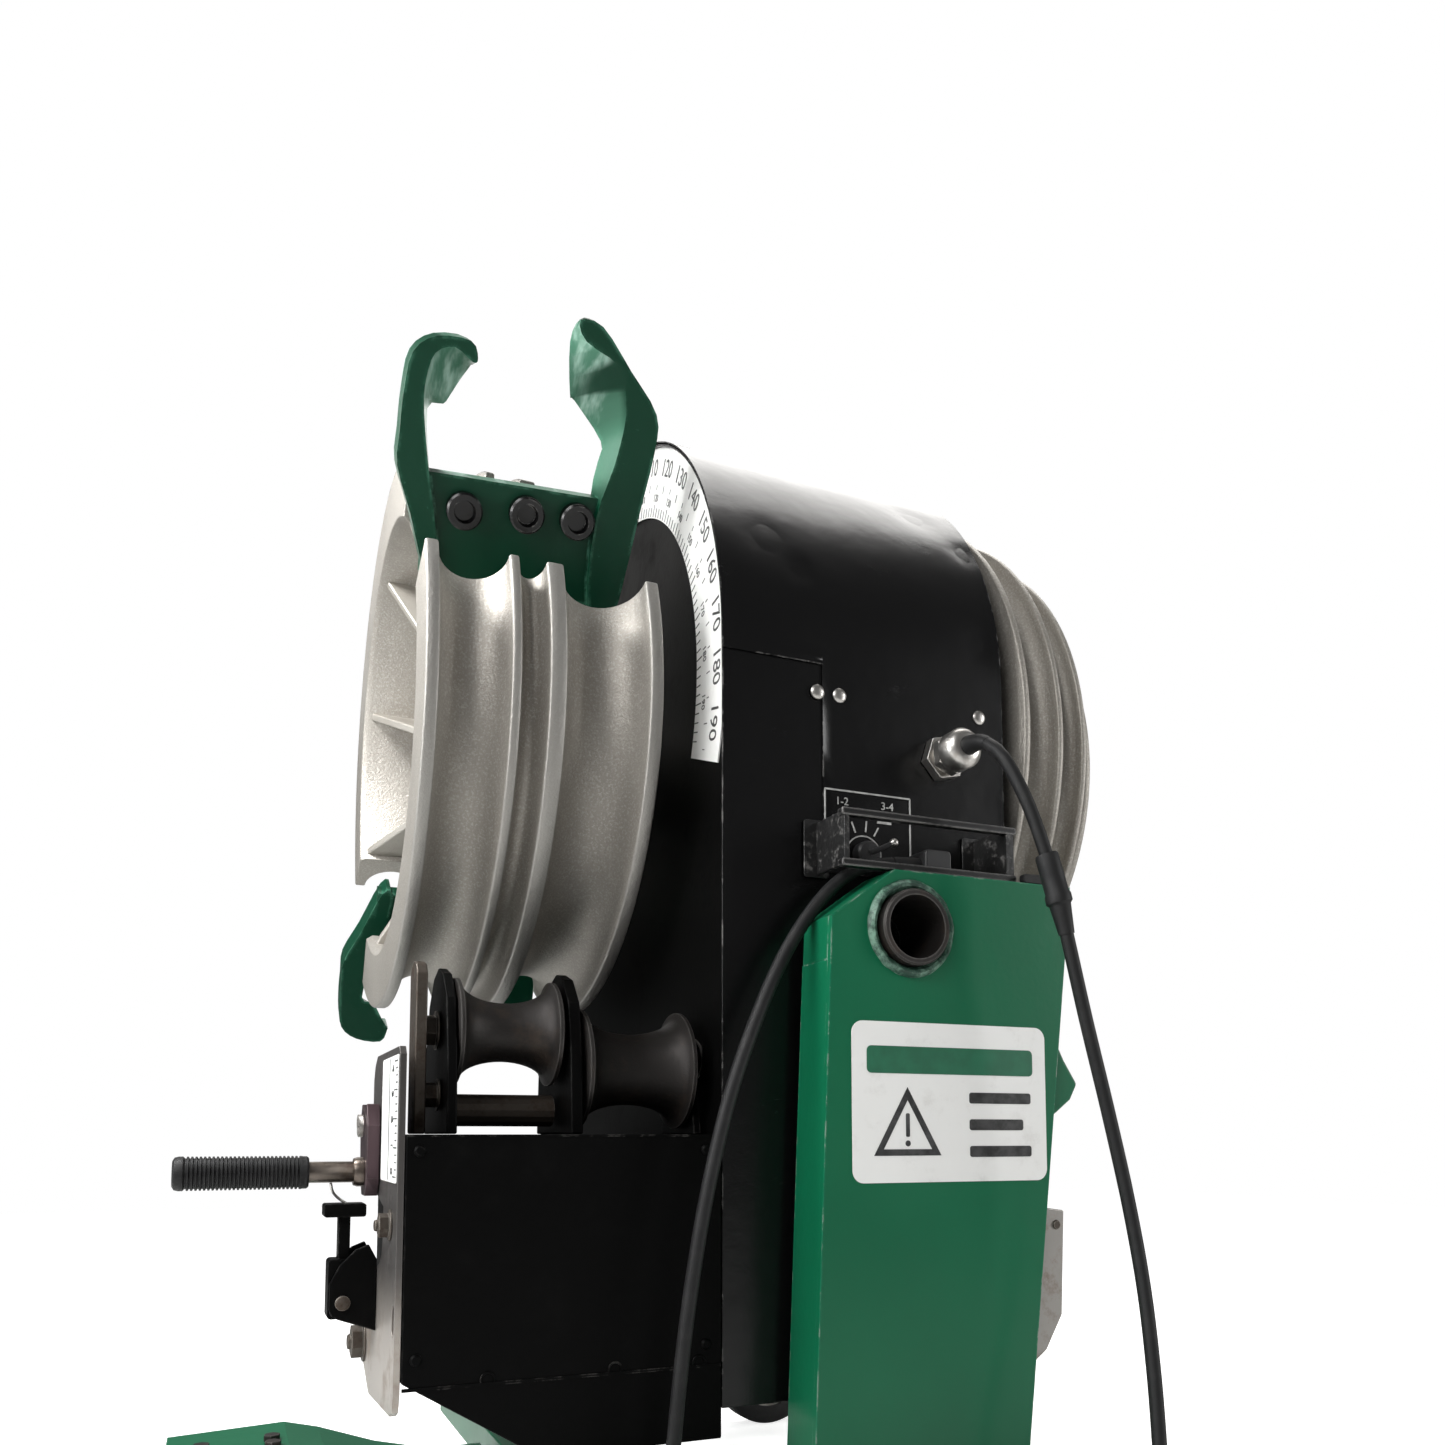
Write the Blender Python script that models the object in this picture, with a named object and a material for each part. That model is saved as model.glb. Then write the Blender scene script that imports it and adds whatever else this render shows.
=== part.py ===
"""Floor-standing powered conduit bender: tilting head with two bending shoes on one shaft.

Metres, +Z up. X runs along the bending shaft, Y from the near arm to the far arm.
The origin is on the floor under the middle of the machine.
"""
import math

import bmesh
import bpy
from mathutils import Matrix, Vector

# Driving dimensions ---------------------------------------------------------
GAP = 0.0003                 # clearance between pieces that touch
SHAFT_Z = 0.80               # height of the bending shaft
SHAFT_R = 0.030
RIM_R = 0.260                # radius of the large shoe over its ridges
SECTOR = (-21.0, 122.0)      # one arc of the left shoe, degrees round the shaft
HOOK_ANGLE = 128.0           # where the pipe hook stands, degrees round the shaft
HOOK_TIP_R = 0.396
TILT_X, TILT_Z = 0.122, 0.585  # trunnion axis of the tilting head
WALL_Y = 0.295               # half width of the head's housing
COVER_Z = 0.83               # centre of the round cover
HEAD_X0, HEAD_X1 = -0.02, 0.262
HEAD_BOTTOM = 0.20
SHEET = 0.003
ARM_Y0, ARM_Y1 = 0.355, 0.349  # outer and inner face of an arm's web
ARM_FLANGE_Y = 0.306
BASE_HALF_X = 0.427
RAIL_TOP, RAIL_BOTTOM = 0.14, 0.09
WHEEL_R, WHEEL_Z = 0.075, 0.075
CASTER_R = 0.045
CORD_R = 0.00575

GREEN = (0.012, 0.115, 0.055)
BLACK = (0.012, 0.012, 0.013)


# Scene and helpers ----------------------------------------------------------
for old in list(bpy.data.objects):
    bpy.data.objects.remove(old)


def material(name, colour, roughness, metallic):
    mat = bpy.data.materials.new(name)
    mat.use_nodes = True
    shader = mat.node_tree.nodes["Principled BSDF"]
    shader.inputs["Base Color"].default_value = (*colour, 1.0)
    shader.inputs["Roughness"].default_value = roughness
    shader.inputs["Metallic"].default_value = metallic
    return mat


MATERIALS = {
    "green_paint": material("green_paint", GREEN, 0.3, 0.0),
    "black_paint": material("black_paint", BLACK, 0.25, 0.0),
    "cast_aluminium": material("cast_aluminium", (0.55, 0.53, 0.50), 0.4, 1.0),
    "steel": material("steel", (0.35, 0.33, 0.31), 0.45, 1.0),
    "dark_steel": material("dark_steel", (0.05, 0.047, 0.045), 0.45, 1.0),
    "nickel": material("nickel", (0.6, 0.58, 0.55), 0.25, 1.0),
    "rubber": material("rubber", (0.02, 0.02, 0.02), 0.7, 0.0),
    "plastic": material("plastic", (0.03, 0.03, 0.03), 0.45, 0.0),
    "scale_white": material("scale_white", (0.85, 0.85, 0.82), 0.45, 0.0),
    "button_green": material("button_green", (0.02, 0.3, 0.08), 0.4, 0.0),
    "button_red": material("button_red", (0.5, 0.02, 0.02), 0.4, 0.0),
}


def finish_mesh(name, bm, slot, pivot=None):
    """Makes a named object from a bmesh given in world places, with its origin on pivot."""
    bmesh.ops.remove_doubles(bm, verts=bm.verts, dist=1e-6)
    bmesh.ops.recalc_face_normals(bm, faces=bm.faces)
    mesh = bpy.data.meshes.new(name)
    origin = Vector(pivot or (0.0, 0.0, 0.0))
    bm.transform(Matrix.Translation(-origin))
    bm.to_mesh(mesh)
    bm.free()
    mesh.shade_smooth()
    mesh.set_sharp_from_angle(angle=math.radians(35))
    mesh.materials.append(MATERIALS[slot])
    obj = bpy.data.objects.new(name, mesh)
    obj.location = origin
    bpy.context.collection.objects.link(obj)
    return obj


def prism(bm, outline, axis, low, high):
    """Extrudes a flat outline along axis X, Y or Z; the outline holds the other two in order."""
    def place(a, b, level):
        return {"X": (level, a, b), "Y": (a, level, b), "Z": (a, b, level)}[axis]
    bottom = [bm.verts.new(place(a, b, low)) for a, b in outline]
    top = [bm.verts.new(place(a, b, high)) for a, b in outline]
    count = len(outline)
    bm.faces.new(bottom)
    bm.faces.new(top)
    for i in range(count):
        j = (i + 1) % count
        bm.faces.new((bottom[i], bottom[j], top[j], top[i]))


def ring_prism(bm, outer, inner, axis, low, high):
    """A flat ring with matching outer and inner outlines, extruded along axis."""
    def place(a, b, level):
        return {"X": (level, a, b), "Y": (a, level, b), "Z": (a, b, level)}[axis]
    loops = [[bm.verts.new(place(a, b, level)) for a, b in line]
             for line in (outer, inner) for level in (low, high)]
    out_low, out_high, in_low, in_high = loops
    count = len(outer)
    for i in range(count):
        j = (i + 1) % count
        bm.faces.new((out_low[i], out_low[j], out_high[j], out_high[i]))
        bm.faces.new((in_low[i], in_low[j], in_high[j], in_high[i]))
        bm.faces.new((out_low[i], out_low[j], in_low[j], in_low[i]))
        bm.faces.new((out_high[i], out_high[j], in_high[j], in_high[i]))


def rect(a0, b0, a1, b1):
    return [(a0, b0), (a1, b0), (a1, b1), (a0, b1)]


def circle(centre, radius, sides, start=0.0):
    step = 2 * math.pi / sides
    return [(centre[0] + radius * math.cos(start + i * step),
             centre[1] + radius * math.sin(start + i * step)) for i in range(sides)]


def arc(centre, radius, start, end, steps):
    """Points on an arc, angles in degrees."""
    angles = [math.radians(start + (end - start) * i / steps) for i in range(steps + 1)]
    return [(centre[0] + radius * math.cos(a), centre[1] + radius * math.sin(a)) for a in angles]


def solid(name, outline, axis, low, high, slot, pivot=None):
    bm = bmesh.new()
    prism(bm, outline, axis, low, high)
    return finish_mesh(name, bm, slot, pivot)


def block(name, low, high, slot, pivot=None):
    return solid(name, rect(low[0], low[1], high[0], high[1]), "Z", low[2], high[2], slot, pivot)


def tube(name, centre, outer, inner, axis, low, high, slot, sides=24, pivot=None):
    bm = bmesh.new()
    ring_prism(bm, circle(centre, outer, sides), circle(centre, inner, sides), axis, low, high)
    return finish_mesh(name, bm, slot, pivot)


def turned(name, profile, axis, centre, slot, sides=24, pivot=None):
    """Turns a closed profile of (along, radius) points round an axis through centre."""
    bm = bmesh.new()
    rings = []
    for i in range(sides):
        angle = 2 * math.pi * i / sides
        c, s = math.cos(angle), math.sin(angle)
        ring = []
        for along, radius in profile:
            spot = {"X": (along, centre[0] + radius * c, centre[1] + radius * s),
                    "Y": (centre[0] + radius * c, along, centre[1] + radius * s),
                    "Z": (centre[0] + radius * c, centre[1] + radius * s, along)}[axis]
            ring.append(bm.verts.new(spot))
        rings.append(ring)
    count = len(profile)
    for i in range(sides):
        one, two = rings[i], rings[(i + 1) % sides]
        for k in range(count):
            m = (k + 1) % count
            on_axis = profile[k][1] < 1e-9 and profile[m][1] < 1e-9
            if not on_axis:
                corners = [one[k], one[m], two[m], two[k]]
                if profile[k][1] < 1e-9:
                    corners = [one[k], one[m], two[m]]
                elif profile[m][1] < 1e-9:
                    corners = [one[k], one[m], two[k]]
                bm.faces.new(corners)
    return finish_mesh(name, bm, slot, pivot)


def boolean(obj, other, operation):
    mod = obj.modifiers.new(operation.lower(), "BOOLEAN")
    mod.operation = operation
    mod.object = other
    other.hide_render = True
    other.display_type = "WIRE"


def swept_sector(bm, profile, start, end, steps):
    """Sweeps a closed profile of (x, radius) round the shaft between two angles."""
    rings = []
    for i in range(steps + 1):
        angle = math.radians(start + (end - start) * i / steps)
        rings.append([bm.verts.new((x, r * math.cos(angle), SHAFT_Z + r * math.sin(angle)))
                      for x, r in profile])
    count = len(profile)
    for i in range(steps):
        for k in range(count):
            m = (k + 1) % count
            bm.faces.new((rings[i][k], rings[i][m], rings[i + 1][m], rings[i + 1][k]))
    bm.faces.new(rings[0])
    bm.faces.new(rings[-1])


def groove(x0, x1, depth, steps):
    """Points of a round-bottomed groove between two ridges, left to right."""
    mid, half = (x0 + x1) / 2, (x1 - x0) / 2
    return [(mid - half * math.cos(math.pi * i / steps), RIM_R - depth * math.sin(math.pi * i / steps))
            for i in range(steps + 1)]


def at_hook(along_x, radius, tangent, turn):
    """A point given by its x, its distance from the shaft and its offset along the rim."""
    angle = math.radians(HOOK_ANGLE + turn)
    c, s = math.cos(angle), math.sin(angle)
    return (along_x, radius * c - tangent * s, SHAFT_Z + radius * s + tangent * c)


# Bending shoes, shaft and hooks ---------------------------------------------
LEFT_GROOVES = [(-0.2454, -0.188, 0.034), (-0.1798, -0.1567, 0.022), (-0.1423, -0.0702, 0.040)]
# Ridges of the small shoe as (x, x, radius), and the depths of the grooves between them.
RIGHT_RIDGES = [(0.282, 0.289, 0.303), (0.330, 0.336, 0.292), (0.372, 0.378, 0.275), (0.410, 0.418, 0.2335)]
RIGHT_DEPTHS = (0.026, 0.022, 0.020)
RIM_INNER_R = 0.208
LEFT_RIBS = (-18, 26, 71, 116)


def shoe_profile(low, high, grooves, steps):
    line = [(low, RIM_INNER_R), (low, RIM_R)]
    for x0, x1, depth in grooves:
        line += groove(x0, x1, depth, steps)
    return line + [(high, RIM_R), (high, RIM_INNER_R)]


def right_profile(steps):
    """Section of the small shoe's rim, whose ridges step down towards its outer end."""
    line = [(0.282, 0.248)]
    for k, (x0, x1, radius) in enumerate(RIGHT_RIDGES):
        line += [(x0, radius), (x1, radius)]
        if k < len(RIGHT_DEPTHS):
            next_x, next_r = RIGHT_RIDGES[k + 1][0], RIGHT_RIDGES[k + 1][2]
            for i in range(1, steps):
                a = math.pi * i / steps
                share = (1 - math.cos(a)) / 2
                line.append((x1 + (next_x - x1) * share,
                             radius + (next_r - radius) * share - RIGHT_DEPTHS[k] * math.sin(a)))
    return line + [(0.418, 0.190)]


def sector_outline(inner, outer, start, end, steps):
    first = arc((0.0, SHAFT_Z), outer, start, end, steps)
    last = arc((0.0, SHAFT_Z), inner, end, start, steps)
    return first + last


def rib(bm, outline, angle, half):
    """A radial rib: an outline of (x, radius) points with a thickness across the radius."""
    c, s = math.cos(math.radians(angle)), math.sin(math.radians(angle))
    near, far = ([bm.verts.new((x, r * c - t * s, SHAFT_Z + r * s + t * c)) for x, r in outline]
                 for t in (-half, half))
    count = len(outline)
    bm.faces.new(near)
    bm.faces.new(far)
    for i in range(count):
        j = (i + 1) % count
        bm.faces.new((near[i], near[j], far[j], far[i]))


def piece_from(bm, name, slot):
    """A helper solid that a Boolean joins to its owner; it is not a piece of its own."""
    obj = finish_mesh(name, bm, slot)
    obj.hide_render = True
    obj.display_type = "WIRE"
    return obj


def make_left_shoe():
    centre = (0.0, SHAFT_Z)
    bm = bmesh.new()
    ring_prism(bm, circle(centre, 0.060, 24), circle(centre, SHAFT_R + 0.0006, 24),
               "X", -0.180, -0.062)
    shoe = finish_mesh("left_shoe", bm, "cast_aluminium", (0.0, 0.0, SHAFT_Z))
    for turn in (0, 180):
        bm = bmesh.new()
        swept_sector(bm, shoe_profile(-0.2562, -0.0585, LEFT_GROOVES, 7),
                     SECTOR[0] + turn, SECTOR[1] + turn, 20)
        boolean(shoe, piece_from(bm, f"left_rim_{turn}", "cast_aluminium"), "UNION")
        bm = bmesh.new()
        prism(bm, sector_outline(0.050, 0.214, SECTOR[0] + turn + 1, SECTOR[1] + turn - 1, 12),
              "X", -0.150, -0.138)
        boolean(shoe, piece_from(bm, f"left_web_{turn}", "cast_aluminium"), "UNION")
        for angle in LEFT_RIBS:
            bm = bmesh.new()
            rib(bm, [(-0.250, 0.214), (-0.250, 0.206), (-0.168, 0.053), (-0.145, 0.053), (-0.145, 0.214)],
                angle + turn, 0.004)
            boolean(shoe, piece_from(bm, f"left_rib_{turn}_{angle}", "cast_aluminium"), "UNION")
    return shoe


def make_right_shoe():
    centre = (0.0, SHAFT_Z)
    bm = bmesh.new()
    ring_prism(bm, circle(centre, 0.055, 24), circle(centre, SHAFT_R + 0.0006, 24),
               "X", 0.286, 0.414)
    shoe = finish_mesh("right_shoe", bm, "cast_aluminium", (0.0, 0.0, SHAFT_Z))
    bm = bmesh.new()
    swept_sector(bm, right_profile(6), 70, 330, 30)
    boolean(shoe, piece_from(bm, "right_rim", "cast_aluminium"), "UNION")
    bm = bmesh.new()
    prism(bm, sector_outline(0.046, 0.228, 71, 329, 20), "X", 0.344, 0.356)
    boolean(shoe, piece_from(bm, "right_web", "cast_aluminium"), "UNION")
    for angle in (90, 150, 210, 270, 320):
        bm = bmesh.new()
        rib(bm, [(0.410, 0.200), (0.410, 0.048), (0.350, 0.048), (0.350, 0.226)], angle, 0.004)
        boolean(shoe, piece_from(bm, f"right_rib_{angle}", "cast_aluminium"), "UNION")
    return shoe


# One outline for both horns and the cross plate, as (x, distance from the shaft).
HOOK_OUTLINE = [
    (-0.2400, 0.172), (-0.2582, 0.221), (-0.2750, 0.257), (-0.2778, 0.284), (-0.2745, 0.315), (-0.2680, 0.343),
    (-0.2520, 0.357), (-0.2260, 0.361), (-0.2180, 0.352), (-0.2200, 0.342), (-0.2380, 0.309),
    (-0.2500, 0.302), (-0.2460, 0.258), (-0.1000, 0.262), (-0.0984, 0.300), (-0.1080, 0.318),
    (-0.1330, 0.340), (-0.1397, 0.378), (-0.1350, HOOK_TIP_R), (-0.1203, HOOK_TIP_R), (-0.0609, 0.343),
    (-0.0562, 0.313), (-0.0640, 0.208), (-0.0800, 0.172),
]
HOOK_HALF = 0.014


def make_hook(name, turn):
    bm = bmesh.new()
    sides = [[bm.verts.new(at_hook(x, r, t, turn)) for x, r in HOOK_OUTLINE]
             for t in (HOOK_HALF, 3 * HOOK_HALF)]
    count = len(HOOK_OUTLINE)
    for line in sides:
        bm.faces.new(line)
    for i in range(count):
        j = (i + 1) % count
        bm.faces.new((sides[0][i], sides[0][j], sides[1][j], sides[1][i]))
    return finish_mesh(name, bm, "green_paint", (0.0, 0.0, SHAFT_Z))


def toothed(centre, root, tip, teeth):
    line = []
    for i in range(teeth):
        for share, radius in ((0.0, root), (0.3, root), (0.5, tip), (0.75, tip)):
            angle = 2 * math.pi * (i + share) / teeth
            line.append((centre[0] + radius * math.cos(angle), centre[1] + radius * math.sin(angle)))
    return line


def make_shoe_body():
    pivot = (0.0, 0.0, SHAFT_Z)
    turned("main_shaft", [(-0.196, 0.0), (-0.196, 0.026), (-0.192, SHAFT_R), (0.424, SHAFT_R),
                          (0.426, 0.028), (0.426, 0.0)], "X", (0.0, SHAFT_Z), "steel", 24, pivot)
    make_left_shoe()
    make_right_shoe()
    make_hook("top_hook", 0)
    make_hook("bottom_hook", 180)
    bm = bmesh.new()
    line = toothed((0.0, SHAFT_Z), 0.158, 0.168, 36)
    ring_prism(bm, line, circle((0.0, SHAFT_Z), SHAFT_R + 0.0006, len(line)), "X", 0.095, 0.107)
    finish_mesh("large_sprocket", bm, "dark_steel", pivot)


# Drive inside the housing ---------------------------------------------------
DRIVE_Y, DRIVE_Z = 0.0, 0.44


def hull_band(outset, steps=18):
    """Outline round the two sprockets, as a taut chain runs."""
    big, small = 0.170 + outset, 0.046 + outset
    drop = SHAFT_Z - DRIVE_Z
    lean = math.degrees(math.asin((0.170 - 0.046) / drop))
    line = arc((0.0, SHAFT_Z), big, -lean, 180 + lean, steps)
    return line + arc((DRIVE_Y, DRIVE_Z), small, 180 + lean, 360 - lean, steps)


def make_drive():
    bm = bmesh.new()
    ring_prism(bm, hull_band(0.012), hull_band(0.0), "X", 0.092, 0.110)
    finish_mesh("drive_chain", bm, "dark_steel")
    bm = bmesh.new()
    prism(bm, toothed((DRIVE_Y, DRIVE_Z), 0.036, 0.044, 12), "X", 0.095, 0.107)
    small = finish_mesh("small_sprocket", bm, "dark_steel", (0.0, DRIVE_Y, DRIVE_Z))
    bm = bmesh.new()
    prism(bm, circle((DRIVE_Y, DRIVE_Z), 0.016, 16), "X", 0.0916, 0.122)
    boolean(small, piece_from(bm, "sprocket_hub", "dark_steel"), "UNION")
    turned("gearbox", [(-0.005, 0.0), (-0.005, 0.060), (0.015, 0.085), (0.070, 0.085),
                       (0.080, 0.050), (0.0912, 0.050), (0.0912, 0.0)], "X", (DRIVE_Y, DRIVE_Z),
           "dark_steel", 16)
    turned("motor", [(-0.20, 0.0), (-0.20, 0.050), (-0.185, 0.062), (-0.030, 0.062), (-0.0255, 0.050),
                     (-0.0255, 0.0)], "X", (0.02, 0.315), "black_paint", 16)


# Housing of the tilting head ------------------------------------------------
ARCH_STEPS = 28


def arch(inset, bottom, steps):
    """Half outline of the housing section: wall, round cover, wall, as (y, z)."""
    radius = WALL_Y - inset
    return [(WALL_Y - inset, bottom)] + arc((0.0, COVER_Z), radius, 0, 180, steps) + [
        (-WALL_Y + inset, bottom)]


def make_end_plate(name, low, high):
    outer = arch(SHEET + GAP, HEAD_BOTTOM, ARCH_STEPS)
    plate = solid(name, outer, "X", low, high, "black_paint")
    bm = bmesh.new()
    prism(bm, circle((0.0, SHAFT_Z), 0.042, 24), "X", low - 0.01, high + 0.01)
    boolean(plate, piece_from(bm, name + "_hole", "black_paint"), "DIFFERENCE")
    return plate


def make_housing():
    outer = arch(0.0, HEAD_BOTTOM, ARCH_STEPS)
    inner = arch(SHEET, HEAD_BOTTOM, ARCH_STEPS)
    solid("housing_cover", outer + inner[::-1], "X", HEAD_X0, HEAD_X1, "black_paint")
    make_end_plate("left_end_plate", -0.014, -0.010)
    make_end_plate("right_end_plate", 0.250, 0.254)
    centre = (0.0, COVER_Z)
    scale = arc(centre, 0.2905, 100, 200, 20) + arc(centre, 0.226, 200, 100, 20)
    solid("degree_scale", scale, "X", -0.0155, -0.014 - GAP, "scale_white")
    for name, low, high in (("left_bearing", -0.030, 0.012), ("right_bearing", 0.232, 0.276)):
        tube(name, (0.0, SHAFT_Z), 0.041, SHAFT_R + 0.0006, "X", low, high, "steel", 24)


BOX_X0, BOX_X1 = -0.268, -0.0205
BOX_Y0, BOX_Y1 = -WALL_Y, -0.139
BOX_TOP, BOX_BOTTOM = 0.417, 0.240


def make_lower_box():
    """Black box under the rollers, with a sloped belly and an open back."""
    belly = [(BOX_X0, BOX_BOTTOM), (-0.165, 0.178), (BOX_X1, 0.178), (BOX_X1, BOX_TOP), (BOX_X0, BOX_TOP)]
    box = solid("lower_box", belly, "Y", BOX_Y0, BOX_Y1, "black_paint")
    inner = [(BOX_X0 + 0.004, BOX_BOTTOM + 0.004), (-0.163, 0.182), (BOX_X1 - 0.004, 0.182),
             (BOX_X1 - 0.004, BOX_TOP - 0.004), (BOX_X0 + 0.004, BOX_TOP - 0.004)]
    bm = bmesh.new()
    prism(bm, inner, "Y", BOX_Y0 + 0.004, BOX_Y1 + 0.01)
    boolean(box, piece_from(bm, "lower_box_hollow", "black_paint"), "DIFFERENCE")


def make_motor_cover():
    """Sheet cover over the motor, open below and towards the gearbox."""
    top = [(-0.1386, 0.232), (-0.1386, 0.372), (-0.118, 0.398), (0.075, 0.398), (0.100, 0.372), (0.100, 0.232)]
    cover = solid("motor_cover", top, "X", -0.212, -0.0205, "black_paint")
    inner = [(-0.1346, 0.222), (-0.1346, 0.370), (-0.116, 0.394), (0.073, 0.394), (0.096, 0.370), (0.096, 0.222)]
    bm = bmesh.new()
    prism(bm, inner, "X", -0.208, -0.010)
    boolean(cover, piece_from(bm, "motor_cover_hollow", "black_paint"), "DIFFERENCE")


ROLLER_Y, ROLLER_A_Z, ROLLER_B_Z = -0.215, 0.500, 0.472
ROLLER_A_X, ROLLER_B_X = (-0.224, -0.140), (-0.122, -0.028)


def spool(name, span, height, waist, flange):
    x0, x1 = span
    mid = (x0 + x1) / 2
    half = (x1 - x0) / 2 - 0.008
    profile = [(x0, 0.0085), (x0, flange), (x0 + 0.008, flange)]
    profile += [(mid - half * math.cos(math.pi * i / 8), flange - (flange - waist) * math.sin(math.pi * i / 8))
                for i in range(1, 8)]
    profile += [(x1 - 0.008, flange), (x1, flange), (x1, 0.0085)]
    turned(name, profile, "X", (ROLLER_Y, height), "dark_steel", 20, (mid, ROLLER_Y, height))


def make_roller_support():
    spool("left_roller", ROLLER_A_X, ROLLER_A_Z, 0.024, 0.043)
    spool("right_roller", ROLLER_B_X, ROLLER_B_Z, 0.030, 0.050)
    plate_low = BOX_TOP + GAP
    outline = [(-0.262, plate_low), (-0.150, plate_low), (-0.160, 0.53), (-0.205, 0.552), (-0.250, 0.53)]
    pin_a, pin_b = (ROLLER_Y, ROLLER_A_Z), (ROLLER_Y, ROLLER_B_Z)
    for name, x0, x1, pins in (("outer_support", -0.2335, -0.2255, (pin_a,)),
                               ("inner_support", -0.136, -0.126, (pin_a, pin_b))):
        plate = solid(name, outline, "X", x0, x1, "black_paint")
        for i, spot in enumerate(pins):
            bm = bmesh.new()
            prism(bm, circle(spot, 0.0085, 16), "X", x0 - 0.01, x1 + 0.01)
            boolean(plate, piece_from(bm, f"{name}_hole_{i}", "black_paint"), "DIFFERENCE")
    turned("left_roller_pin", [(-0.245, 0.0), (-0.245, 0.0075), (-0.1295, 0.0075), (-0.1295, 0.0)],
           "X", pin_a, "steel", 16)
    turned("right_roller_pin", [(-0.1355, 0.0), (-0.1355, 0.0075), (-0.0165, 0.0075), (-0.0165, 0.0)],
           "X", pin_b, "steel", 16)
    solid("support_bar", [(-0.246, plate_low), (-0.214, plate_low), (-0.214, 0.544), (-0.222, 0.552),
                          (-0.238, 0.552), (-0.246, 0.544)], "X", -0.256, -0.247, "steel")
    solid("roller_bracket", [(-0.250, plate_low), (-0.170, plate_low), (-0.180, 0.462), (-0.240, 0.462)],
          "X", -0.0265, -0.0205, "black_paint")
    turned("support_shaft", [(-0.2225, 0.0), (-0.2225, 0.013), (-0.139, 0.013), (-0.139, 0.0)],
           "X", (ROLLER_Y + 0.005, 0.4365), "dark_steel", 16)


LEVER_PIVOT = (-0.172, 0.424)
ROD_PLACE = (-0.175, 0.387)
LATCH_PIN = (-0.299, 0.285)


def make_roller_end():
    """Steel end plate of the lower box with the lever's cam, its rod and grip, and the latch."""
    x1 = BOX_X0 - GAP
    outline = [(-0.294, 0.232), (-0.278, 0.214), (-0.151, 0.205), (-0.075, 0.238), (-0.053, 0.256),
               (-0.056, 0.276), (-0.205, 0.318), (-0.218, 0.336), (-0.218, 0.362), (-0.139, 0.376),
               (-0.139, 0.470), (-0.160, 0.482), (-0.294, 0.482)]
    plate = solid("box_end_plate", outline, "X", x1 - 0.005, x1, "steel")
    lug = [(-0.309, 0.279), (-0.303, 0.273), (x1 - 0.002, 0.262), (x1 - 0.002, 0.302), (-0.280, 0.330),
           (-0.303, 0.315), (-0.309, 0.300)]
    for shape, y0, y1 in ((lug, -0.1895, -0.1855), (lug, -0.1595, -0.1555),
                          (circle(LATCH_PIN, 0.0040, 12), -0.1875, -0.1575)):
        bm = bmesh.new()
        prism(bm, shape, "Y", y0, y1)
        boolean(plate, piece_from(bm, f"latch_mount_{y0}", "steel"), "UNION")
    pivot = (x1 - 0.011, LEVER_PIVOT[0], LEVER_PIVOT[1])
    cam_low, cam_high = x1 - 0.016, x1 - 0.0058
    cam = [(-0.196, 0.382), (-0.186, 0.368), (-0.164, 0.368), (-0.152, 0.384), (-0.146, 0.424),
           (-0.156, 0.442), (-0.166, 0.436), (-0.178, 0.436), (-0.188, 0.442), (-0.198, 0.424)]
    solid("lever_cam", cam, "X", cam_low, cam_high, "steel", pivot)
    turned("lever_rod", [(-0.350, 0.0), (-0.350, 0.0085), (cam_low - GAP, 0.0085), (cam_low - GAP, 0.0)],
           "X", ROD_PLACE, "steel", 16, pivot)
    turned("lever_grip", [(-0.424, 0.0), (-0.424, 0.0115), (-0.421, 0.0135), (-0.326, 0.0135),
                          (-0.326, 0.0088), (-0.3505, 0.0088), (-0.3505, 0.0)],
           "X", ROD_PLACE, "rubber", 16, pivot)
    latch_pivot = (LATCH_PIN[0], -0.172, LATCH_PIN[1])
    latch = [(-0.310, 0.272), (-0.2895, 0.272), (-0.2895, 0.318), (-0.2935, 0.318), (-0.2935, 0.350),
             (-0.282, 0.352), (-0.282, 0.362), (-0.314, 0.362), (-0.314, 0.352), (-0.3025, 0.350),
             (-0.3025, 0.318), (-0.310, 0.318)]
    body = solid("lever_latch", latch, "Y", -0.185, -0.160, "black_paint", latch_pivot)
    bm = bmesh.new()
    prism(bm, circle(LATCH_PIN, 0.0046, 16), "Y", -0.19, -0.155)
    boolean(body, piece_from(bm, "latch_hole", "black_paint"), "DIFFERENCE")


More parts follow.
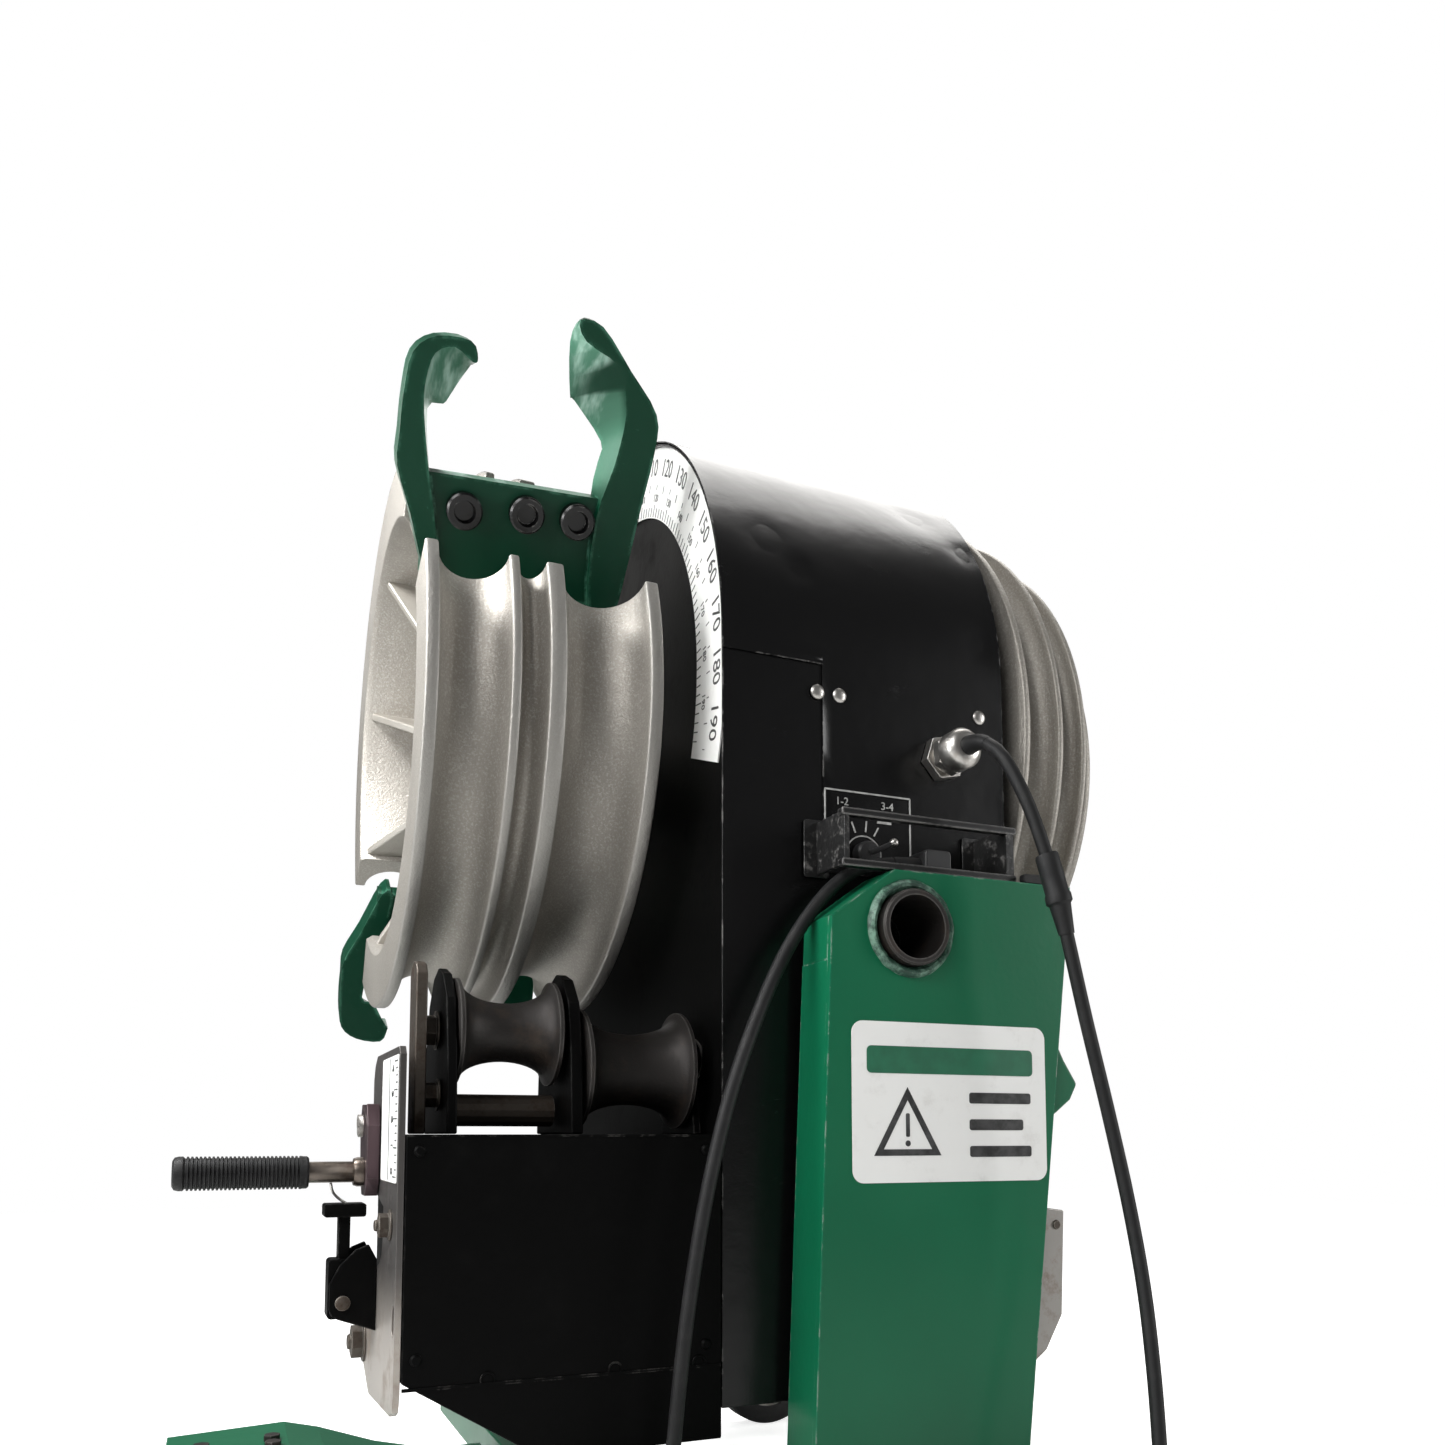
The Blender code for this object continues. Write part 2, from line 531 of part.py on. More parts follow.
def make_controls():
    """Switch with its guard on the near wall, cable glands and trunnion tubes."""
    wall = -WALL_Y - GAP
    bm = bmesh.new()
    ring_prism(bm, rect(0.066, 0.634, 0.234, 0.684), rect(0.074, 0.642, 0.226, 0.676), "Y", -0.345, -0.337)
    guard = finish_mesh("switch_guard", bm, "black_paint")
    for x0 in (0.066, 0.226):
        bm = bmesh.new()
        prism(bm, rect(x0, -0.341, x0 + 0.008, wall), "Z", 0.636, 0.682)
        boolean(guard, piece_from(bm, f"guard_side_{x0}", "black_paint"), "UNION")
    knob = (0.113, -0.30, 0.658)
    bm = bmesh.new()
    prism(bm, circle((knob[0], knob[2]), 0.0115, 16), "Y", -0.307, wall)
    switch = finish_mesh("selector_switch", bm, "plastic", knob)
    bm = bmesh.new()
    prism(bm, [(0.113, 0.6555), (0.137, 0.6655), (0.1385, 0.670), (0.134, 0.671), (0.112, 0.6605)], "Y",
          -0.312, -0.304)
    boolean(switch, piece_from(bm, "selector_lever", "plastic"), "UNION")
    gland = [(wall, 0.0), (wall, 0.019), (-0.305, 0.021), (-0.318, 0.021), (-0.320, 0.0185),
             (-0.335, 0.0185), (-0.339, 0.014), (-0.339, 0.0)]
    turned("power_gland", gland, "Y", (0.193, 0.753), "nickel", 12)
    block("pendant_gland", (0.150, -0.336, 0.631), (0.176, wall, 0.659), "plastic")
    for name, side in (("near", -1), ("far", 1)):
        y0, y1 = sorted((side * 0.374, side * (WALL_Y + GAP)))
        tube(name + "_pivot", (TILT_X, TILT_Z), 0.034, 0.026, "Y", y0, y1, "dark_steel", 32,
             (TILT_X, 0.0, TILT_Z))


# Green frame, wheels --------------------------------------------------------
ARM_OUTLINE = [(0.030, RAIL_TOP + GAP), (0.229, RAIL_TOP + GAP), (0.286, 0.633), (0.107, 0.633),
               (0.049, 0.591)]


def make_arm(name, side):
    y0, y1 = sorted((side * ARM_Y0, side * ARM_Y1))
    arm = solid(name, ARM_OUTLINE, "Y", y0, y1, "green_paint")
    bm = bmesh.new()
    prism(bm, circle((TILT_X, TILT_Z), 0.0347, 32), "Y", y0 - 0.01, y1 + 0.01)
    boolean(arm, piece_from(bm, name + "_hole", "green_paint"), "DIFFERENCE")
    bm = bmesh.new()
    y0, y1 = sorted((side * (ARM_Y1 + 0.001), side * ARM_FLANGE_Y))
    prism(bm, [(0.0303, RAIL_TOP + 0.0010), (0.0363, RAIL_TOP + 0.0010), (0.0534, 0.556), (0.0474, 0.556)],
          "Y", y0, y1)
    boolean(arm, piece_from(bm, name + "_flange", "green_paint"), "UNION")


def make_base():
    """Rails, crossbars and the centre beam, whose bent end plate carries the one swivel caster."""
    for name, side in (("near", -1), ("far", 1)):
        make_arm(name + "_arm", side)
        y0, y1 = sorted((side * 0.39, side * 0.34))
        block(name + "_rail", (-0.135, y0, RAIL_BOTTOM), (0.40, y1, RAIL_TOP), "green_paint")
        make_wheel(name, side)
    block("front_crossbar", (-0.130, -0.3397, 0.075), (-0.090, 0.3397, 0.115), "green_paint")
    block("rear_crossbar", (0.255, -0.3397, 0.092), (0.295, 0.3397, 0.132), "green_paint")
    block("centre_beam", (-0.210, -0.030, 0.060), (-0.1303, 0.030, 0.0995), "green_paint")
    plate = [(-BASE_HALF_X, 0.1396), (-0.3268, 0.1445), (-0.2962, 0.1370), (-0.2433, 0.1184), (-0.190, 0.1058),
             (-0.140, 0.1058), (-0.140, 0.0998), (-0.191, 0.0998), (-0.2446, 0.1123), (-0.2975, 0.1308),
             (-0.3275, 0.1383), (-BASE_HALF_X, 0.1335)]
    solid("caster_bracket", plate, "Y", -0.050, 0.050, "green_paint")
    make_caster()
    lock = [(0.2400, 0.3570), (0.2767, 0.3522), (0.2725, 0.2640), (0.2555, 0.2354), (0.2323, 0.2190)]
    solid("tilt_lock_plate", lock, "Y", -0.3485, -0.3435, "steel")
    turned("wheel_axle", [(-0.44, 0.0), (-0.44, 0.010), (0.44, 0.010), (0.44, 0.0)], "Y",
           (BASE_HALF_X - WHEEL_R, WHEEL_Z), "steel", 16)


def make_wheel(name, side):
    y0, y1 = sorted((side * 0.399, side * 0.438))
    x = BASE_HALF_X - WHEEL_R
    edge = 0.006
    turned(name + "_wheel", [(y0, 0.0108), (y0, WHEEL_R - edge), (y0 + edge, WHEEL_R), (y1 - edge, WHEEL_R),
                             (y1, WHEEL_R - edge), (y1, 0.0108)], "Y", (x, WHEEL_Z), "rubber", 32,
           (x, 0.0, WHEEL_Z))


CASTER_X, CASTER_TRAIL = -0.368, 0.020


def make_caster():
    """Swivel caster under the bent plate: a forked yoke with its race and pin, and its wheel."""
    wheel_x = CASTER_X + CASTER_TRAIL
    fork = block("caster_fork", (CASTER_X - 0.030, -0.026, 0.118), (CASTER_X + 0.034, 0.026, 0.128),
                 "dark_steel", (CASTER_X, 0.0, 0.0))
    for y0, y1 in ((-0.026, -0.021), (0.021, 0.026)):
        bm = bmesh.new()
        prism(bm, [(CASTER_X - 0.026, 0.124), (CASTER_X + 0.034, 0.124), (wheel_x + 0.012, 0.036),
                   (wheel_x - 0.012, 0.036)], "Y", y0, y1)
        boolean(fork, piece_from(bm, f"caster_cheek_{y0}", "dark_steel"), "UNION")
    bm = bmesh.new()
    prism(bm, circle((wheel_x, CASTER_R), 0.006, 12), "Y", -0.0255, 0.0255)
    boolean(fork, piece_from(bm, "caster_pin", "dark_steel"), "UNION")
    bm = bmesh.new()
    prism(bm, circle((CASTER_X, 0.0), 0.018, 16), "Z", 0.122, 0.1350)
    boolean(fork, piece_from(bm, "caster_race", "dark_steel"), "UNION")
    edge = 0.005
    turned("caster_wheel", [(-0.017, 0.0068), (-0.017, CASTER_R - edge), (-0.017 + edge, CASTER_R),
                            (0.017 - edge, CASTER_R), (0.017, CASTER_R - edge), (0.017, 0.0068)], "Y",
           (wheel_x, CASTER_R), "rubber", 28, (wheel_x, 0.0, CASTER_R))


# Cords ----------------------------------------------------------------------
def smooth(points, spacing):
    """Evenly spaced points along a Catmull-Rom curve through the route's points."""
    fine = []
    padded = [points[0]] + list(points) + [points[-1]]
    for i in range(1, len(padded) - 2):
        p0, p1, p2, p3 = (Vector(p) for p in padded[i - 1:i + 3])
        for k in range(24):
            t = k / 24
            fine.append(0.5 * (2 * p1 + (p2 - p0) * t + (2 * p0 - 5 * p1 + 4 * p2 - p3) * t * t
                               + (3 * p1 - p0 - 3 * p2 + p3) * t ** 3))
    fine.append(Vector(points[-1]))
    total = sum((b - a).length for a, b in zip(fine, fine[1:]))
    count = max(2, round(total / spacing))
    step, out, run = total / count, [fine[0]], 0.0
    for a, b in zip(fine, fine[1:]):
        run += (b - a).length
        if run >= step * len(out) - 1e-9 and len(out) < count:
            out.append(b)
    out.append(fine[-1])
    return out


POWER_ROUTE = [
    (0.193, -0.3413, 0.753), (0.1933, -0.3562, 0.7508), (0.1955, -0.3688, 0.7432), (0.1998, -0.3800, 0.7300),
    (0.2098, -0.3925, 0.6960), (0.2198, -0.3995, 0.6600), (0.2300, -0.4045, 0.6180), (0.2390, -0.4070, 0.5760),
    (0.2535, -0.4095, 0.510), (0.2700, -0.414, 0.435), (0.2795, -0.424, 0.362), (0.2810, -0.437, 0.295),
    (0.2765, -0.450, 0.232), (0.270, -0.461, 0.175), (0.264, -0.470, 0.120), (0.2575, -0.481, 0.0730),
    (0.2480, -0.4940, 0.0375), (0.2290, -0.5075, 0.0145), (0.2010, -0.5160, 0.0064), (0.1726, -0.517, 0.006),
]
PENDANT_ROUTE = [
    (0.1494, -0.3220, 0.6450), (0.1240, -0.3220, 0.6458), (0.0985, -0.3222, 0.6410), (0.0763, -0.3228, 0.6290),
    (0.0520, -0.3240, 0.6055), (0.0250, -0.3255, 0.5678), (0.0015, -0.3260, 0.5213), (-0.0251, -0.3260, 0.4520),
    (-0.0446, -0.3255, 0.3770), (-0.0585, -0.3250, 0.3005), (-0.0668, -0.3240, 0.2350),
    (-0.0720, -0.3200, 0.1686), (-0.0740, -0.3120, 0.112), (-0.0715, -0.2960, 0.0625), (-0.061, -0.2730, 0.0270),
    (-0.039, -0.2470, 0.0085), (-0.005, -0.2305, 0.006), (0.0372, -0.2280, 0.006),
]
COIL_MID_R = 0.062
COIL_OUT_R = COIL_MID_R + 1.05 * CORD_R
LEAD_IN = 0.0425             # straight stretch where a cord runs onto its coil
POWER_COIL = (0.130, -0.585)
PENDANT_COIL = (0.080, -0.160)
HANDSET_X = PENDANT_COIL[0] + COIL_MID_R
RELIEF_Z = 0.0275            # where the cord enters the handset, level with its coil's top row


def make_cord(name, route):
    points = smooth(route, 0.023)
    curve = bpy.data.curves.new(name, "CURVE")
    curve.dimensions = "3D"
    curve.bevel_depth = CORD_R
    curve.bevel_resolution = 2
    curve.use_fill_caps = True
    spline = curve.splines.new("POLY")
    spline.points.add(len(points) - 1)
    for spot, point in zip(spline.points, points):
        spot.co = (*point, 1.0)
    curve.materials.append(MATERIALS["rubber"])
    obj = bpy.data.objects.new(name, curve)
    bpy.context.collection.objects.link(obj)


def make_coil(name, centre, height, side):
    """Outer shape of a wound coil, with the stretch that leads onto its outer turn.

    side is 1 where the cord runs on at the far side, towards -X, and -1 at the near side.
    """
    spread = 2.1 * CORD_R
    coil = tube(name, centre, COIL_MID_R + spread, COIL_MID_R - spread, "Z", 0.0002, height, "rubber", 24)
    y = centre[1] + side * COIL_OUT_R
    x0, x1 = sorted((centre[0], centre[0] + side * (LEAD_IN - GAP)))
    bm = bmesh.new()
    prism(bm, circle((y, CORD_R + 0.0003), CORD_R, 12), "X", x0, x1)
    boolean(coil, piece_from(bm, name + "_lead_in", "rubber"), "UNION")


def make_cords():
    make_cord("power_cord", POWER_ROUTE)
    make_cord("pendant_cord", PENDANT_ROUTE)
    make_coil("power_cord_coil", POWER_COIL, 0.058, 1)
    make_coil("pendant_cord_coil", PENDANT_COIL, 0.0347, -1)
    top = 0.0585
    x, y = POWER_COIL
    turned("power_plug", [(-0.030, 0.0), (-0.030, 0.008), (-0.012, 0.015), (0.022, 0.018), (0.026, 0.018),
                          (0.026, 0.0)], "Z", (0.0, 0.0), "rubber", 16)
    plug = bpy.data.objects["power_plug"]
    plug.rotation_euler = (math.radians(90), 0.0, 0.0)
    plug.location = (x - COIL_MID_R, y, top + 0.0182)
    block("pendant_handset", (HANDSET_X - 0.024, -0.083, 0.0005), (HANDSET_X + 0.024, 0.062, 0.0400),
          "plastic")
    handset = bpy.data.objects["pendant_handset"]
    bm = bmesh.new()
    prism(bm, circle((HANDSET_X, RELIEF_Z), 0.0065, 12), "Y", -0.108, -0.080)
    boolean(handset, piece_from(bm, "handset_relief", "plastic"), "UNION")
    for name, y0, slot in (("bend_button", -0.040, "button_green"), ("unload_button", 0.000, "button_red")):
        turned(name, [(0.034, 0.0), (0.034, 0.0092), (0.0450, 0.0092), (0.0465, 0.008), (0.0465, 0.0)], "Z",
               (HANDSET_X, y0), slot, 16, (HANDSET_X, y0, 0.034))
        bm = bmesh.new()
        prism(bm, circle((HANDSET_X, y0), 0.0098, 16), "Z", 0.0290, 0.0500)
        boolean(handset, piece_from(bm, name + "_well", "plastic"), "DIFFERENCE")


make_shoe_body()
make_drive()
make_housing()
make_lower_box()
make_motor_cover()
make_roller_support()
make_roller_end()
make_controls()
make_base()
make_cords()
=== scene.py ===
"""Looks of the conduit bender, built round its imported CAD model. Metres, +Z up."""

import math

import bmesh
import bpy
from mathutils import Matrix, Vector, noise


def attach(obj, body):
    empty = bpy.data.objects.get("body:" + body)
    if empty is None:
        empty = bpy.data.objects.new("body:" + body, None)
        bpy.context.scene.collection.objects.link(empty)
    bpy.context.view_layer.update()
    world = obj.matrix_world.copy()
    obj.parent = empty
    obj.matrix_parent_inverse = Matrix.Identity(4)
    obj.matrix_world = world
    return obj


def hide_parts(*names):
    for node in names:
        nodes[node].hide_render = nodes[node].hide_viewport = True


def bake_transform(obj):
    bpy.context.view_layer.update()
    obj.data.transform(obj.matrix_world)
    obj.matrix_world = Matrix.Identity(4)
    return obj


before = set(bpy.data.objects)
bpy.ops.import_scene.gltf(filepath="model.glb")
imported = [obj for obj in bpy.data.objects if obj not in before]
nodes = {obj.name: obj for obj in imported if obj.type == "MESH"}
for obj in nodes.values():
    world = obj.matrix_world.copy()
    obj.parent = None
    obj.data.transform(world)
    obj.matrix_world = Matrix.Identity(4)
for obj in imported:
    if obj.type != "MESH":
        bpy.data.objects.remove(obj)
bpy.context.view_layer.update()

# Places shared with the CAD model ---------------------------------------------
SHAFT_Z = 0.80
RIM_R = 0.260
WALL_Y = 0.295
COVER_Z = 0.83
TILT_X, TILT_Z = 0.122, 0.585
CORD_R = 0.00575
ARM_FACE = 0.3550             # outer face of both arms, from the middle plane


# Camera, lights and floor -------------------------------------------------------
def make_camera():
    """A low camera at the near left corner, looking slightly up."""
    data = bpy.data.cameras.new("camera")
    data.lens = 29.13
    data.shift_x, data.shift_y = -0.0047, 0.22
    cam = bpy.data.objects.new("camera", data)
    cam.location = (-0.3912, -1.1643, 0.4168)
    cam.rotation_euler = (math.radians(90 + 4.61), 0.0, math.radians(-23.46))
    bpy.context.collection.objects.link(cam)
    bpy.context.scene.camera = cam


def area_light(name, spot, target, size, power, colour=(1.0, 1.0, 1.0)):
    data = bpy.data.lights.new(name, "AREA")
    data.shape = "RECTANGLE"
    data.size, data.size_y = size
    data.energy = power
    data.color = colour
    lamp = bpy.data.objects.new(name, data)
    lamp.location = spot
    lamp.rotation_euler = (Vector(target) - Vector(spot)).to_track_quat("-Z", "Y").to_euler()
    bpy.context.collection.objects.link(lamp)


def make_studio():
    world = bpy.data.worlds.new("studio")
    bpy.context.scene.world = world
    world.use_nodes = True
    tree = world.node_tree
    back = tree.nodes["Background"]
    path = tree.nodes.new("ShaderNodeLightPath")
    level = tree.nodes.new("ShaderNodeMapRange")
    level.inputs["To Min"].default_value = 0.12
    level.inputs["To Max"].default_value = 1.0
    back.inputs["Color"].default_value = (1.0, 1.0, 1.0, 1.0)
    tree.links.new(path.outputs["Is Camera Ray"], level.inputs["Value"])
    tree.links.new(level.outputs["Result"], back.inputs["Strength"])
    bpy.context.scene.view_settings.view_transform = "Standard"
    area_light("key", (-1.9, -1.7, 2.2), (0.0, 0.0, 0.75), (1.3, 1.3), 42.0)
    area_light("overhead", (0.85, 0.50, 2.35), (0.12, -0.10, 1.0), (1.3, 1.8), 27.0, (1.0, 0.985, 0.96))
    area_light("back_top", (0.40, 2.10, 2.10), (0.12, 0.0, 0.95), (1.9, 1.0), 16.0, (1.0, 0.985, 0.96))
    area_light("left", (-2.4, 0.2, 1.0), (-0.2, 0.0, 0.7), (0.9, 1.8), 12.0, (0.90, 0.96, 1.0))
    area_light("right", (2.3, -1.6, 1.2), (0.2, 0.0, 0.6), (0.8, 1.6), 26.0)
    area_light("low_left", (-1.15, -0.45, 0.85), (-0.32, 0.0, 0.16), (0.35, 0.35), 7.0)
    area_light("base_front", (-0.60, -0.15, 1.20), (-0.39, 0.0, 0.14), (0.25, 0.25), 8.0)
    bm = bmesh.new()
    bmesh.ops.create_grid(bm, x_segments=4, y_segments=4, size=6.0)
    mesh = bpy.data.meshes.new("floor")
    bm.to_mesh(mesh)
    bm.free()
    floor = bpy.data.objects.new("floor", mesh)
    bpy.context.collection.objects.link(floor)
    mat = Finish("floor_white", (0.93, 0.93, 0.92), roughness=0.75)
    mat.mottle(0.02, 6.0)
    mat.shader.inputs["Emission Color"].default_value = (1.0, 1.0, 1.0, 1.0)
    seen = mat.node("ShaderNodeLightPath").outputs["Is Camera Ray"]
    reach = mat.node("ShaderNodeVectorMath", operation="LENGTH")
    mat.tree.links.new(mat.coords, reach.inputs[0])
    glow = mat.combine(seen, mat.ramp(reach.outputs["Value"], 0.6, 2.2, 0.74, 1.0))
    mat.tree.links.new(glow, mat.shader.inputs["Emission Strength"])
    floor.data.materials.append(mat.mat)


# Materials ----------------------------------------------------------------------
class Finish:
    """A procedural material, built up a layer at a time in object coordinates."""

    def __init__(self, name, colour, roughness=0.5, metallic=0.0, coat=0.0, coat_roughness=0.1,
                 specular=None):
        self.mat = bpy.data.materials.new(name)
        self.mat.use_nodes = True
        self.tree = self.mat.node_tree
        self.shader = self.tree.nodes["Principled BSDF"]
        self.coords = self.tree.nodes.new("ShaderNodeTexCoord").outputs["Object"]
        self.shader.inputs["Metallic"].default_value = metallic
        self.shader.inputs["Coat Weight"].default_value = coat
        self.shader.inputs["Coat Roughness"].default_value = coat_roughness
        if specular is not None:
            self.shader.inputs["Specular IOR Level"].default_value = specular
        self.shader.inputs["Base Color"].default_value = (*colour, 1.0)
        self.shader.inputs["Roughness"].default_value = roughness
        self.colour = None
        self.base = (*colour, 1.0)
        self.rough = None
        self.roughness = roughness
        self.bump = None

    def node(self, kind, **settings):
        made = self.tree.nodes.new(kind)
        for key, value in settings.items():
            setattr(made, key, value)
        return made

    def noise(self, scale, detail=4.0, rough=0.55, stretch=None):
        made = self.node("ShaderNodeTexNoise")
        made.inputs["Scale"].default_value = scale
        made.inputs["Detail"].default_value = detail
        made.inputs["Roughness"].default_value = rough
        spot = self.coords
        if stretch:
            mapping = self.node("ShaderNodeMapping")
            mapping.inputs["Scale"].default_value = stretch
            self.tree.links.new(spot, mapping.inputs["Vector"])
            spot = mapping.outputs["Vector"]
        self.tree.links.new(spot, made.inputs["Vector"])
        return made.outputs["Fac"]

    def ramp(self, value, low, high, to_low=0.0, to_high=1.0):
        made = self.node("ShaderNodeMapRange", interpolation_type="SMOOTHSTEP")
        for key, number in (("From Min", low), ("From Max", high), ("To Min", to_low), ("To Max", to_high)):
            made.inputs[key].default_value = number
        self.tree.links.new(value, made.inputs["Value"])
        return made.outputs["Result"]

    def combine(self, a, b, operation="MULTIPLY"):
        made = self.node("ShaderNodeMath", operation=operation, use_clamp=True)
        for value, socket in ((a, made.inputs[0]), (b, made.inputs[1])):
            if isinstance(value, (int, float)):
                socket.default_value = value
            else:
                self.tree.links.new(value, socket)
        return made.outputs["Value"]

    def edges(self, radius=0.003, low=0.02, high=0.18):
        """1 on convex and concave edges, 0 on flat faces."""
        bevel = self.node("ShaderNodeBevel", samples=4)
        bevel.inputs["Radius"].default_value = radius
        geometry = self.node("ShaderNodeNewGeometry")
        dot = self.node("ShaderNodeVectorMath", operation="DOT_PRODUCT")
        self.tree.links.new(bevel.outputs["Normal"], dot.inputs[0])
        self.tree.links.new(geometry.outputs["Normal"], dot.inputs[1])
        return self.ramp(dot.outputs["Value"], 1.0 - high, 1.0 - low, 1.0, 0.0)

    def axis(self, name):
        made = self.node("ShaderNodeSeparateXYZ")
        self.tree.links.new(self.coords, made.inputs[0])
        return made.outputs[name]

    def paint(self, mask, colour, strength=1.0):
        """Lays a colour over what is there, where mask is 1."""
        mix = self.node("ShaderNodeMix", data_type="RGBA")
        if strength != 1.0:
            mask = self.combine(mask, strength)
        self.tree.links.new(mask, mix.inputs["Factor"])
        if self.colour is None:
            mix.inputs["A"].default_value = self.base
        else:
            self.tree.links.new(self.colour, mix.inputs["A"])
        mix.inputs["B"].default_value = (*colour, 1.0)
        self.colour = mix.outputs["Result"]
        self.tree.links.new(self.colour, self.shader.inputs["Base Color"])
        return self

    def gloss(self, mask, roughness):
        mix = self.node("ShaderNodeMix", data_type="FLOAT")
        self.tree.links.new(mask, mix.inputs["Factor"])
        if self.rough is None:
            mix.inputs["A"].default_value = self.roughness
        else:
            self.tree.links.new(self.rough, mix.inputs["A"])
        mix.inputs["B"].default_value = roughness
        self.rough = mix.outputs["Result"]
        self.tree.links.new(self.rough, self.shader.inputs["Roughness"])
        return self

    def relief(self, height, distance, strength=1.0):
        bump = self.node("ShaderNodeBump")
        bump.inputs["Distance"].default_value = distance
        bump.inputs["Strength"].default_value = strength
        self.tree.links.new(height, bump.inputs["Height"])
        if self.bump is not None:
            self.tree.links.new(self.bump, bump.inputs["Normal"])
        self.bump = bump.outputs["Normal"]
        self.tree.links.new(self.bump, self.shader.inputs["Normal"])
        return self

    def metal(self, mask, value):
        """Turns the surface towards bare metal where mask is 1."""
        level = self.ramp(mask, 0.0, 1.0, self.shader.inputs["Metallic"].default_value, value)
        self.tree.links.new(level, self.shader.inputs["Metallic"])
        return self

    def mottle(self, amount, scale, dark=(0.0, 0.0, 0.0)):
        return self.paint(self.ramp(self.noise(scale), 0.3, 0.7, 0.0, amount), dark)


def radius_from_shaft(finish):
    """Distance from the bending shaft."""
    flat = finish.node("ShaderNodeMapping")
    flat.inputs["Location"].default_value = (0.0, 0.0, -SHAFT_Z)
    flat.inputs["Scale"].default_value = (0.0, 1.0, 1.0)
    length = finish.node("ShaderNodeVectorMath", operation="LENGTH")
    finish.tree.links.new(finish.coords, flat.inputs["Vector"])
    finish.tree.links.new(flat.outputs["Vector"], length.inputs[0])
    return length.outputs["Value"]


def hook_cradle(finish):
    """1 on the worn inner faces of the hooks, whose fronts face along the rim."""
    spot = finish.node("ShaderNodeCombineXYZ")
    finish.tree.links.new(finish.axis("X"), spot.inputs["X"])
    finish.tree.links.new(radius_from_shaft(finish), spot.inputs["Y"])
    reach = finish.node("ShaderNodeVectorMath", operation="DISTANCE")
    finish.tree.links.new(spot.outputs["Vector"], reach.inputs[0])
    reach.inputs[1].default_value = (-0.172, 0.318, 0.0)
    face = finish.node("ShaderNodeVectorMath", operation="DOT_PRODUCT")
    finish.tree.links.new(finish.node("ShaderNodeTexCoord").outputs["Normal"], face.inputs[0])
    a = math.radians(128.0)
    face.inputs[1].default_value = (0.0, -math.sin(a), math.cos(a))
    flat = finish.combine(face.outputs["Value"], face.outputs["Value"])
    inside = finish.ramp(reach.outputs["Value"], 0.082, 0.090, 1.0, 0.0)
    return finish.combine(inside, finish.ramp(flat, 0.62, 0.85, 1.0, 0.0))


